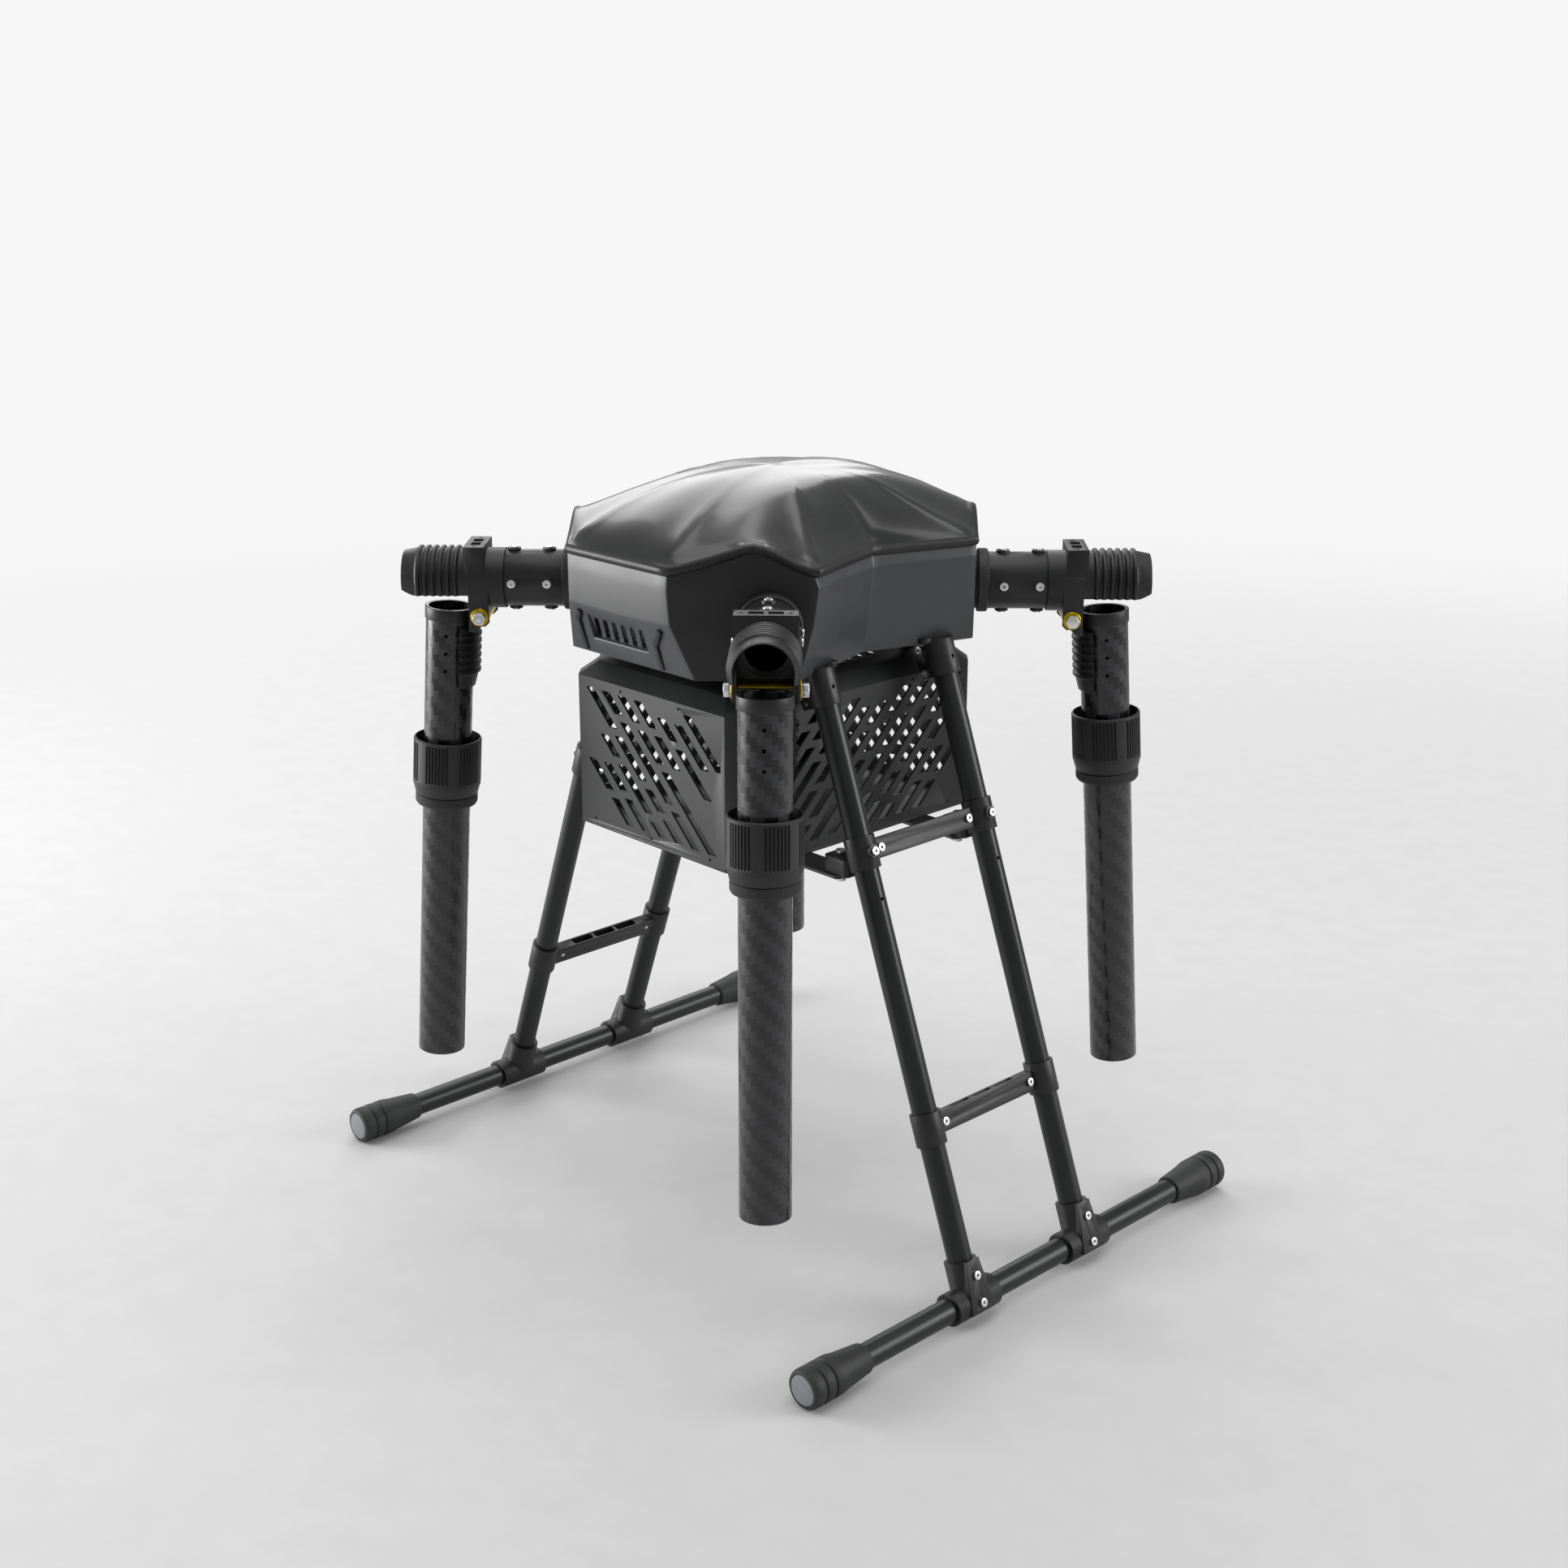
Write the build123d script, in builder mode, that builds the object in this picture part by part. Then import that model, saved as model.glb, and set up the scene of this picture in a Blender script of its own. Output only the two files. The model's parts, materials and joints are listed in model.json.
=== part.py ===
from build123d import *
import math
import os

# Frame of a heavy-lift drone with four folding arms on skid landing gear.
# Millimetres, +Z up, ground at Z = 0, front towards -Y, origin midway between the skids.
# Each arm lies on a plan diagonal. It is modelled along +X, then turned into its place.

os.makedirs("parts", exist_ok=True)

# ---- Fits and clearances -------------------------------------------------------------
fit = 0.05            # radial gap between pieces that are fixed together
running = 0.5         # gap between pieces that swing or slide past each other

# ---- Body ----------------------------------------------------------------------------
axis_z = 535.0        # height of the arm axes
wall_reach = 162.0    # centre line to the flat of each corner wall
face_half = 59.5      # half width of the front and rear faces
corner_x = 141.0      # where a corner wall meets the side
waist_half = 112.0    # half width at the waist
seam_z = 572.0        # the cover sits on the lower shell here
crease_z = 532.0      # the faces lean inwards below this height
belly_z = 497.0       # underside of the lower shell
face_lean = 14.6      # how far the front and rear faces lean in at the belly
side_lean = 9.0       # how far the waist leans in at the belly
shell_wall = 2.5
cover_top_z = 629.5
cover_lip = 5.0       # upright edge of the cover above the seam
cover_wall = 2.0
deck_wall = 2.5
deck_margin = 6.0     # from the inside of the shell to the edge of a deck
clamp_start = 100.0   # inner end of an arm clamp, along the arm
clamp_length = 35.0
clamp_rim = 5.0       # clamp metal above and below an arm root
vent_width = 66.0
vent_height = 22.0
vent_slots = 6
vent_slot = 5.6
vent_x = -8.0
vent_drop = 1.5       # window centre below the middle of the leaning face

# ---- Arms ----------------------------------------------------------------------------
arm_angles = {"front_right": -45, "rear_right": 45, "rear_left": 135, "front_left": -135}
tube_radius = 20.0
tube_wall = 2.0
root_wall = 4.0
root_inner_end = 92.0
arm_length = 400.0
pin_reach = 242.0     # centre line to a hinge pin
pin_drop = tube_radius + 8.3  # hinge pin below the arm axis
fold_angle = 86.2     # from straight out down to the folded position
stub_radius = tube_radius + 3.3
ring_radius = tube_radius + 6.0
ring_start = 165.0
ring_length = 9.0
yoke_start = 222.0
yoke_nose = 9.0       # end of the yoke beyond the pin
yoke_radius = tube_radius + 4.8
ear_drop = 7.7        # the ears reach this far below the pin
ear_back = 7.5
top_plate = tube_radius + 9.5
pocket_y = 7.2        # two pockets and two screw holes in the top plate of a yoke
pocket_length = 8.0
pocket_width = 11.0
pocket_depth = 3.0
plate_screw_y = 18.0
plate_screw = 1.5
pin_radius = 3.0
bush_radius = 4.5
barrel_radius = 6.8
nut_flats = 10.0
nut_height = 6.2
skirt_drop = 11.0     # the fixed threaded half reaches this far below the axis
thread_root = tube_radius + 4.5
thread_crest = thread_root + 2.0
thread_pitch = 6.2
thread_turns = 6
thread_start = 17.0   # first thread beyond the pin
thread_tip = 64.0
thread_tip_radius = tube_radius + 2.3
band_length = 10.0
band_wall = 0.9
screw_rows = (186.0, 215.0)
screw_radius = 1.6
screw_head_radius = 3.4
screw_head_height = 2.2
seat_radius = 5.5
seat_height = 1.9     # raised seats stand this far off the stub
seat_depth = 1.0

# ---- Locking sleeves -----------------------------------------------------------------
sleeve_radius = thread_crest + 2.0
sleeve_straight = 40.0
sleeve_length = 48.8
sleeve_bore_straight = 36.0
sleeve_neck_radius = tube_radius + 6.2
sleeve_neck_bore = tube_radius + 3.2
slide_ring_length = 9.0
sleeve_parked = {"front_right": 85.0, "rear_right": 85.0, "rear_left": 85.0, "front_left": 111.0}

# ---- Payload bay ---------------------------------------------------------------------
bay_half_x = 100.6
bay_half_y = 138.6
bay_chamfer = 11.4
bay_floor_z = 337.3   # top of the floor, where the panels stand
bay_top_z = 462.3     # top of the panels
bay_lid_z = 474.0
bay_lid_inset = 12.0
bay_wall = 2.0
slot_width = 7.2
slot_pitch = 20.0     # between slot lines, along the panel
slot_angle = 45.0     # slot lines from the vertical
slot_gap = 5.5
slot_stagger = 9.0    # each line starts this much lower than the one before, five in a cycle
slot_cycle = (20.0, 34.0, 16.0, 31.0, 56.0, 23.0)
slot_corner = 0.6
panel_margin = 8.0    # plain band along the top and bottom of a panel
panel_border = 4.8    # plain band along its upright edges
panel_hole = 1.2
hole_inset = 4.5
lid_slot_x = 40.0
lid_slot_length = 56.0
lid_slot_pitch = 14.0
lid_slot_rows = 9
hanger_x = 60.0
hanger_y = 96.0
hanger_radius = 6.0
payload_x = 70.0      # payload bolt spacing
payload_y = 180.0
payload_hole = 2.6

# ---- Landing gear --------------------------------------------------------------------
skid_half_track = 292.0
skid_z = 16.0
skid_radius = 10.0
skid_wall = 1.5
skid_half_length = 243.0
leg_half_y = 68.0
leg_radius = 10.0
leg_wall = 1.5
leg_lean = 19.88
leg_top_z = 491.0
leg_seat = 11.0       # lower end of a leg above the skid axis, along the leg
sleeve_wall = 2.4     # wall of every clamp on a leg
socket_bottom_z = 466.0
lower_brace_z = 147.3
upper_brace_z = 355.8
brace_clamp_length = 26.0
bar_height = 16.0
lower_bar_width = 10.0
lower_bar_shift = -3.0  # centre of the lower bar, outwards from the leg axes
upper_bar_width = 6.4
upper_bar_shift = 0.2
brace_screw_inset = 17.0
tee_length = 48.0
tee_wall = 3.2
tee_height = 33.0
pad_half_low = 13.0     # the tee's flat outer pad narrows upwards
pad_half_high = 7.0
pad_out = 14.0          # screw pads stand this far out from a leg or skid axis
tee_screw_low = -1.5    # screws of a tee, along the leg from the skid axis
tee_screw_high = 20.5
leg_hole = 1.5          # small holes on the outside of legs and sockets
leg_hole_z = 320.4
socket_hole_z = 478.7
lug_half = 7.0          # half thickness of a socket's clamp lug
lug_screws = (4.5, 23.5)  # up from the lower end of a socket
foot_start = 187.7
foot_end = 250.8
foot_radius = skid_z
foot_collar = 12.0
cap_depth = 2.0
bracket_wall = 2.5
bolt_radius = 2.5

# ---- Values worked out from those above -------------------------------------------------
wall_sum = wall_reach * math.sqrt(2)
pin_z = axis_z - pin_drop
root_end = pin_reach - 4.0
yoke_end = pin_reach + yoke_nose
yoke_inner = tube_radius + band_wall + 0.3
ear_bottom = pin_z - ear_drop
gate_radius = tube_radius + band_wall + running  # the insert swings up through the open side
thread_bore = thread_crest + 0.4
seat_top = stub_radius + seat_height
head_base = seat_top - seat_depth
thread_flank = 1.4
thread_land = 2.0
tube_back = 2.5       # the folding tube starts this far behind the pin
lean = math.radians(leg_lean)
leg_scale = 1 / math.cos(lean)
pin_axis = Axis((pin_reach, 0, pin_z), (0, 1, 0))


def outline(face_in=0.0, side_in=0.0, scale=1.0):
    """Plan outline of the body; the corner walls keep their planes as the faces move in."""
    face_y = wall_sum - face_half - face_in
    front_x = wall_sum - face_y
    waist = waist_half - side_in
    corner_y = wall_sum - corner_x
    reach = (wall_sum - waist) / (corner_x - waist_half + corner_y)
    side_x = waist + reach * (corner_x - waist_half)
    side_y = reach * corner_y
    right = [(front_x, -face_y), (side_x, -side_y), (waist, 0), (side_x, side_y), (front_x, face_y)]
    left = [(-x, y) for x, y in reversed(right)]
    return [(x * scale, y * scale) for x, y in right + left]


def save(piece, name):
    """Label a finished piece and write it."""
    piece.label = name
    export_step(piece, f"parts/{name}.step")


def save_arms(piece, name):
    """Write one copy of an arm piece for each arm, turned into its place."""
    for arm, angle in arm_angles.items():
        save(piece.rotate(Axis.Z, angle), f"{arm}_{name}")


def add_arms(piece):
    """Add one copy of an arm piece for each arm to the part being built."""
    for angle in arm_angles.values():
        add(piece.rotate(Axis.Z, angle))


def add_four(piece):
    """Add a gear piece made at the right front and its three mirror images."""
    side = piece.mirror(Plane.XZ)
    for copy in (piece, side):
        add(copy)
        add(copy.mirror(Plane.YZ))


def folded(piece):
    """Turn a piece made with the arm straight out down about the hinge pin."""
    return piece.rotate(pin_axis, fold_angle)


def leg_point(height):
    """Centre of the right front leg at a height."""
    return (skid_half_track - (height - skid_z) * math.tan(lean), -leg_half_y, height)


def leg_plane(height):
    """Plane square to the right front leg at a height; its X runs along the skid."""
    return Plane(origin=leg_point(height), x_dir=(0, 1, 0), z_dir=(-math.sin(lean), 0, math.cos(lean)))


def outward_plane(height):
    """Plane through the right front leg's axis at a height, facing outwards; Y runs up the leg."""
    return Plane(origin=leg_point(height), x_dir=(0, 1, 0), z_dir=(math.cos(lean), 0, math.sin(lean)))


def screw_seats():
    """Planes on the arm axis that face outwards through each clamp screw of one stub."""
    seats = []
    for along in screw_rows:
        for quarter in range(4):
            turn = quarter * math.pi / 2
            facing = (0, math.sin(turn), math.cos(turn))
            seats.append(Plane(origin=(along, 0, axis_z), x_dir=(1, 0, 0), z_dir=facing))
    return seats


def threaded_profile(start, bore):
    """Outline of a threaded half, as (distance beyond the pin, radius) points."""
    points = [(start, bore), (start, thread_root)]
    for turn in range(thread_turns):
        foot = thread_start + turn * thread_pitch
        points += [
            (foot, thread_root),
            (foot + thread_flank, thread_crest),
            (foot + thread_flank + thread_land, thread_crest),
            (foot + 2 * thread_flank + thread_land, thread_root),
        ]
    taper = thread_start + thread_turns * thread_pitch - thread_flank
    points += [(taper, thread_root), (thread_tip, thread_tip_radius), (thread_tip, bore)]
    return [(pin_reach + along, axis_z + radius) for along, radius in points]


# ======================================================================================
# Body
# ======================================================================================

# Lower shell: ten-sided tub, upright above the crease and leaning in below it
with BuildPart() as lower_shell:
    with BuildSketch(Plane.XY.offset(belly_z)):
        Polygon(*outline(face_lean, side_lean), align=None)
    with BuildSketch(Plane.XY.offset(crease_z)):
        Polygon(*outline(), align=None)
    loft(ruled=True)
    with BuildSketch(Plane.XY.offset(crease_z)):
        Polygon(*outline(), align=None)
    extrude(amount=seam_z - crease_z)
    offset(amount=-shell_wall, openings=lower_shell.faces().sort_by(Axis.Z)[-1])
    for angle in (-45, 45):
        direction = (math.cos(math.radians(angle)), math.sin(math.radians(angle)), 0)
        with BuildSketch(Plane(origin=(0, 0, axis_z), x_dir=(0, 0, 1), z_dir=direction)):
            Circle(tube_radius + fit)
        extrude(amount=wall_reach + 1, both=True, mode=Mode.SUBTRACT)
    # window for the front grille, cut square to the leaning face
    face_angle = math.atan2(face_lean, crease_z - belly_z)
    vent_plane = Plane(
        origin=(
            vent_x,
            vent_drop * math.tan(face_angle) - (wall_sum - face_half - face_lean / 2),
            (crease_z + belly_z) / 2 - vent_drop,
        ),
        x_dir=(1, 0, 0),
        z_dir=(0, -math.cos(face_angle), -math.sin(face_angle)),
    )
    with BuildSketch(vent_plane):
        RectangleRounded(vent_width, vent_height, 2)
    extrude(amount=shell_wall + 1, both=True, mode=Mode.SUBTRACT)
save(lower_shell.part, "lower_shell")

# Front grille: a slotted plate behind the window
with BuildPart() as front_grille:
    with BuildSketch(vent_plane.offset(-shell_wall)):
        RectangleRounded(vent_width + 6, vent_height + 6, 2)
        with GridLocations(vent_width / vent_slots, 0, vent_slots, 1):
            SlotOverall(vent_height - 2, vent_slot, rotation=78, mode=Mode.SUBTRACT)
    extrude(amount=-1.5)
save(front_grille.part, "front_grille")

# Top cover: domed lid of the same outline
cover_sections = ((seam_z + cover_lip, 1.0), (seam_z + 36, 0.78), (cover_top_z, 0.38))
post_top = seam_z + 8
post_points = [
    (x * side, y * end)
    for x, y in ((face_half - 8, wall_sum - face_half - 19), (corner_x - 23, wall_sum - corner_x - 26))
    for side in (-1, 1)
    for end in (-1, 1)
]
with BuildPart() as top_cover:
    for height, scale in cover_sections:
        with BuildSketch(Plane.XY.offset(height)):
            Polygon(*outline(scale=scale), align=None)
    loft(ruled=True)
    with BuildSketch(Plane.XY.offset(seam_z)):
        Polygon(*outline(), align=None)
    extrude(amount=cover_lip)
    offset(amount=-cover_wall, openings=top_cover.faces().sort_by(Axis.Z)[0])
    with BuildSketch(Plane.XY.offset(seam_z)):
        with Locations(*post_points):
            Circle(3.4)
    extrude(amount=cover_top_z - seam_z, mode=Mode.SUBTRACT)
save(top_cover.part, "top_cover")

# Two decks with the arm clamps between them
clamp_half = tube_radius + clamp_rim
clamp_bottom = axis_z - clamp_half
clamp_top = axis_z + clamp_half
with BuildPart() as lower_deck:
    with BuildSketch(Plane.XY.offset(clamp_bottom - deck_wall)):
        Polygon(*outline(), align=None)
        offset(amount=-(shell_wall + face_lean + 2), kind=Kind.INTERSECTION)
    extrude(amount=deck_wall)
save(lower_deck.part, "lower_deck")

with BuildPart() as upper_deck:
    with BuildSketch(Plane.XY.offset(clamp_top)):
        Polygon(*outline(), align=None)
        offset(amount=-(shell_wall + deck_margin), kind=Kind.INTERSECTION)
    extrude(amount=deck_wall)
save(upper_deck.part, "upper_deck")

with BuildPart() as one_clamp:
    with BuildSketch(Plane.YZ.offset(clamp_start)):
        with Locations((0, axis_z)):
            Rectangle(2 * clamp_half, 2 * clamp_half)
            Circle(tube_radius + fit, mode=Mode.SUBTRACT)
    extrude(amount=clamp_length)

with BuildPart() as arm_clamps:
    add_arms(one_clamp.part)
save(arm_clamps.part, "arm_clamps")

# Posts from the upper deck that take the cover screws
with BuildPart() as cover_posts:
    with BuildSketch(Plane.XY.offset(clamp_top + deck_wall)):
        with Locations(*post_points):
            RegularPolygon(4.5, 6)
    extrude(amount=post_top - clamp_top - deck_wall)
    with BuildSketch(Plane.XY.offset(post_top - 10)):
        with Locations(*post_points):
            Circle(1.5 + fit)
    extrude(amount=10, mode=Mode.SUBTRACT)
save(cover_posts.part, "cover_posts")

with BuildPart() as cover_screws:
    with BuildSketch(Plane.XY.offset(post_top - 9)):
        with Locations(*post_points):
            Circle(1.5)
    extrude(amount=9)
    with BuildSketch(Plane.XY.offset(post_top)):
        with Locations(*post_points):
            Circle(3)
            RegularPolygon(1.4, 6, mode=Mode.SUBTRACT)
    extrude(amount=2.5)
save(cover_screws.part, "cover_screws")

# Power board on the lower deck and flight controller on the upper deck
with BuildPart() as power_board:
    with BuildSketch(Plane.XY.offset(clamp_bottom)):
        RectangleRounded(96, 72, 4)
    extrude(amount=1.6)
    with BuildSketch(Plane.XY.offset(clamp_bottom + 1.6)):
        with GridLocations(40, 40, 2, 2):
            Rectangle(16, 12)
    extrude(amount=6)
save(power_board.part, "power_board")

with BuildPart() as flight_controller:
    with BuildSketch(Plane.XY.offset(clamp_top + deck_wall)):
        RectangleRounded(46, 64, 4)
    extrude(amount=22)
    fillet(flight_controller.faces().sort_by(Axis.Z)[-1].edges(), 2)
save(flight_controller.part, "flight_controller")

# ======================================================================================
# Arm roots, hinges and folding arms
# ======================================================================================

# Short tube from its clamp out to the hinge
with BuildPart() as root_tube:
    with BuildSketch(Plane.YZ.offset(root_inner_end)):
        with Locations((0, axis_z)):
            Circle(tube_radius)
            Circle(tube_radius - root_wall, mode=Mode.SUBTRACT)
    extrude(amount=root_end - root_inner_end)

with BuildPart() as root_tubes:
    add_arms(root_tube.part)
save(root_tubes.part, "root_tubes")

# Moulded stub round the root tube, with a seat for each clamp screw
with BuildPart() as arm_stub:
    with BuildSketch(Plane.YZ.offset(wall_reach)):
        with Locations((0, axis_z)):
            Circle(stub_radius)
    extrude(amount=yoke_start - wall_reach)
    for seat in screw_seats():
        with BuildSketch(seat.offset(tube_radius)):
            Circle(seat_radius)
        extrude(amount=seat_top - tube_radius)
        with BuildSketch(seat.offset(head_base)):
            Circle(screw_head_radius + 0.3)
        extrude(amount=seat_top, mode=Mode.SUBTRACT)
        with BuildSketch(seat.offset(tube_radius - 1)):
            Circle(screw_radius + fit)
        extrude(amount=seat_top, mode=Mode.SUBTRACT)
    with BuildSketch(Plane.YZ.offset(wall_reach)):
        with Locations((0, axis_z)):
            Circle(tube_radius + fit)
    extrude(amount=yoke_start - wall_reach, mode=Mode.SUBTRACT)
save_arms(arm_stub.part, "arm_stub")

with BuildPart() as one_screw_set:
    for seat in screw_seats():
        with BuildSketch(seat.offset(tube_radius + fit)):
            Circle(screw_radius)
        extrude(amount=head_base - tube_radius - fit)
        with BuildSketch(seat.offset(head_base)):
            Circle(screw_head_radius)
            RegularPolygon(screw_radius, 6, mode=Mode.SUBTRACT)
        extrude(amount=screw_head_height)

with BuildPart() as stub_screws:
    add_arms(one_screw_set.part)
save(stub_screws.part, "stub_screws")

# Knurled ring against each corner wall
with BuildPart() as one_ring:
    with BuildSketch(Plane.YZ.offset(ring_start)):
        with Locations((0, axis_z)):
            Circle(ring_radius)
            Circle(stub_radius + fit, mode=Mode.SUBTRACT)
    extrude(amount=ring_length)

with BuildPart() as root_rings:
    add_arms(one_ring.part)
save(root_rings.part, "root_rings")

# Hinge yoke: grips the root tube, carries the pin in two ears and the upper threaded half
with BuildPart() as hinge_yoke:
    with BuildSketch(Plane.YZ.offset(yoke_start)):
        with Locations((0, axis_z)):
            Circle(yoke_radius)
    extrude(amount=yoke_end - yoke_start)
    with BuildSketch(Plane.XZ.offset(-yoke_radius)):
        Polygon(
            (pin_reach - ear_back, axis_z),
            (yoke_end, axis_z),
            (yoke_end, ear_bottom),
            (pin_reach - ear_back + 3, ear_bottom),
            (pin_reach - ear_back, ear_bottom + 3),
            align=None,
        )
    extrude(amount=2 * yoke_radius)
    with BuildSketch(Plane.XY.offset(axis_z)):
        with Locations(((pin_reach - 5 + yoke_end + 3) / 2, 0)):
            Rectangle(yoke_end + 3 - pin_reach + 5, 2 * yoke_radius - 3)
    extrude(amount=top_plate)
    with BuildSketch(Plane.XY.offset(axis_z + top_plate)):
        with Locations(((pin_reach - 5 + yoke_end + 3) / 2, 0)):
            with GridLocations(1, 2 * pocket_y, 1, 2):
                Rectangle(pocket_length, pocket_width)
            with GridLocations(1, 2 * plate_screw_y, 1, 2):
                Circle(plate_screw)
    extrude(amount=-pocket_depth, mode=Mode.SUBTRACT)
    # clear the space below the root tube between the ears, and round the hinge barrel
    with BuildSketch(Plane.XZ.offset(-yoke_inner)):
        Polygon(
            (yoke_start, axis_z - yoke_radius),
            (yoke_end + 1, axis_z - yoke_radius),
            (yoke_end + 1, ear_bottom - 1),
            (yoke_start, ear_bottom - 1),
            align=None,
        )
        with Locations((pin_reach, pin_z)):
            Circle(barrel_radius + 0.4)
    extrude(amount=2 * yoke_inner, mode=Mode.SUBTRACT)
    # upper threaded half
    with BuildSketch(Plane.XZ):
        Polygon(*threaded_profile(yoke_nose, gate_radius), align=None)
    revolve(axis=Axis((0, 0, axis_z), (1, 0, 0)))
    with BuildSketch(Plane.XY.offset(axis_z - skirt_drop)):
        with Locations((yoke_end + thread_tip / 2, 0)):
            Rectangle(thread_tip, 4 * yoke_radius)
    extrude(amount=-2 * yoke_radius, mode=Mode.SUBTRACT)
    # way in from below for the folding tube, and the bores
    with BuildSketch(Plane.YZ.offset(yoke_end)):
        with Locations((0, axis_z)):
            Circle(gate_radius)
        with Locations((0, axis_z - yoke_radius)):
            Rectangle(2 * gate_radius, 2 * yoke_radius)
    extrude(amount=thread_tip, mode=Mode.SUBTRACT)
    with BuildSketch(Plane.YZ.offset(root_end + 0.7)):
        with Locations((0, axis_z)):
            Circle(yoke_inner)
        with Locations((0, axis_z - yoke_radius)):
            Rectangle(2 * yoke_inner, 2 * yoke_radius)
    extrude(amount=yoke_end - root_end - 0.7, mode=Mode.SUBTRACT)
    with BuildSketch(Plane.YZ.offset(yoke_start)):
        with Locations((0, axis_z)):
            Circle(tube_radius + fit)
    extrude(amount=root_end + 1 - yoke_start, mode=Mode.SUBTRACT)
    with BuildSketch(Plane.XZ.offset(-2 * yoke_radius)):
        with Locations((pin_reach, pin_z)):
            Circle(pin_radius + fit)
    extrude(amount=4 * yoke_radius, mode=Mode.SUBTRACT)
save_arms(hinge_yoke.part, "hinge_yoke")

# Brass bush between the ears, and the bolt with its nut
with BuildPart() as one_bush:
    with BuildSketch(Plane.XZ.offset(-(yoke_inner - fit))):
        with Locations((pin_reach, pin_z)):
            Circle(bush_radius)
            Circle(pin_radius + fit, mode=Mode.SUBTRACT)
    extrude(amount=2 * (yoke_inner - fit))

with BuildPart() as hinge_bushes:
    add_arms(one_bush.part)
save(hinge_bushes.part, "hinge_bushes")

with BuildPart() as one_bolt:
    with BuildSketch(Plane.XZ.offset(-(yoke_radius + nut_height))):
        with Locations((pin_reach, pin_z)):
            Circle(pin_radius)
    extrude(amount=2 * (yoke_radius + nut_height) - 0.6)
    with BuildSketch(Plane.XZ.offset(yoke_radius)):
        with Locations((pin_reach, pin_z)):
            RegularPolygon(nut_flats / 2, 6, major_radius=False)
    extrude(amount=nut_height)

with BuildPart() as one_nut:
    with BuildSketch(Plane.XZ.offset(-(yoke_radius + nut_height))):
        with Locations((pin_reach, pin_z)):
            RegularPolygon(nut_flats / 2, 6, major_radius=False)
            Circle(pin_radius + fit, mode=Mode.SUBTRACT)
    extrude(amount=nut_height)

with BuildPart() as hinge_bolts:
    add_arms(one_bolt.part)
save(hinge_bolts.part, "hinge_bolts")

with BuildPart() as hinge_nuts:
    add_arms(one_nut.part)
save(hinge_nuts.part, "hinge_nuts")

# Folding arm tube, with its three rivet holes on the outside and on both flanks
rivet_rows = (22.0, 37.0, 52.0)
with BuildPart() as arm_tube:
    with BuildSketch(Plane.YZ.offset(pin_reach - tube_back)):
        with Locations((0, axis_z)):
            Circle(tube_radius)
            Circle(tube_radius - tube_wall, mode=Mode.SUBTRACT)
    extrude(amount=arm_length)
    for along in rivet_rows:
        with BuildSketch(Plane.XY.offset(axis_z)):
            with Locations((pin_reach - tube_back + along, 0)):
                Circle(1.5)
        extrude(amount=tube_radius + 1, mode=Mode.SUBTRACT)
        with BuildSketch(Plane.XZ.offset(-tube_radius - 1)):
            with Locations((pin_reach - tube_back + along, axis_z)):
                Circle(1.5)
        extrude(amount=2 * tube_radius + 2, mode=Mode.SUBTRACT)
save_arms(folded(arm_tube.part), "arm_tube")

# Insert on the tube: end band, hinge barrel and the lower threaded half
with BuildPart() as thread_insert:
    with BuildSketch(Plane.XZ):
        Polygon(*threaded_profile(yoke_nose + 3, tube_radius - 1), align=None)
    revolve(axis=Axis((0, 0, axis_z), (1, 0, 0)))
    with BuildSketch(Plane.XY.offset(axis_z - skirt_drop - 0.35)):
        with Locations((pin_reach + thread_tip / 2, 0)):
            Rectangle(2 * thread_tip, 4 * yoke_radius)
    extrude(amount=2 * yoke_radius, mode=Mode.SUBTRACT)
    with BuildSketch(Plane.XZ.offset(-(yoke_inner - 0.4))):
        with Locations((pin_reach, pin_z)):
            Circle(barrel_radius)
        Polygon(
            (pin_reach - tube_back, axis_z - tube_radius + 1),
            (pin_reach + yoke_nose + 5, axis_z - tube_radius + 1),
            (pin_reach + yoke_nose + 5, axis_z - thread_root),
            (pin_reach + 4.8, pin_z - 4.8),
            (pin_reach - tube_back, pin_z),
            align=None,
        )
    extrude(amount=2 * (yoke_inner - 0.4))
    with BuildSketch(Plane.YZ.offset(pin_reach - tube_back)):
        with Locations((0, axis_z)):
            Circle(tube_radius + band_wall)
    extrude(amount=band_length)
    with BuildSketch(Plane.YZ.offset(pin_reach - tube_back - 5)):
        with Locations((0, axis_z)):
            Circle(tube_radius + fit)
    extrude(amount=thread_tip + 10, mode=Mode.SUBTRACT)
    with BuildSketch(Plane.XZ.offset(-2 * yoke_radius)):
        with Locations((pin_reach, pin_z)):
            Circle(bush_radius + fit)
    extrude(amount=4 * yoke_radius, mode=Mode.SUBTRACT)
save_arms(folded(thread_insert.part), "thread_insert")

# Locking sleeve and the slide ring under it
for arm, parked in sleeve_parked.items():
    top = pin_reach + parked
    with BuildPart() as lock_sleeve:
        with BuildSketch(Plane.XZ):
            Polygon(
                (top, axis_z + thread_bore),
                (top, axis_z + sleeve_radius),
                (top + sleeve_straight, axis_z + sleeve_radius),
                (top + sleeve_length, axis_z + sleeve_neck_radius),
                (top + sleeve_length, axis_z + sleeve_neck_bore),
                (top + sleeve_bore_straight, axis_z + thread_bore),
                align=None,
            )
        revolve(axis=Axis((0, 0, axis_z), (1, 0, 0)))
    save(folded(lock_sleeve.part).rotate(Axis.Z, arm_angles[arm]), f"{arm}_lock_sleeve")

    with BuildPart() as slide_ring:
        with BuildSketch(Plane.YZ.offset(top + sleeve_length + 0.3)):
            with Locations((0, axis_z)):
                Circle(sleeve_neck_radius)
                Circle(tube_radius + 0.1, mode=Mode.SUBTRACT)
        extrude(amount=slide_ring_length)
    save(folded(slide_ring.part).rotate(Axis.Z, arm_angles[arm]), f"{arm}_slide_ring")

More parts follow.
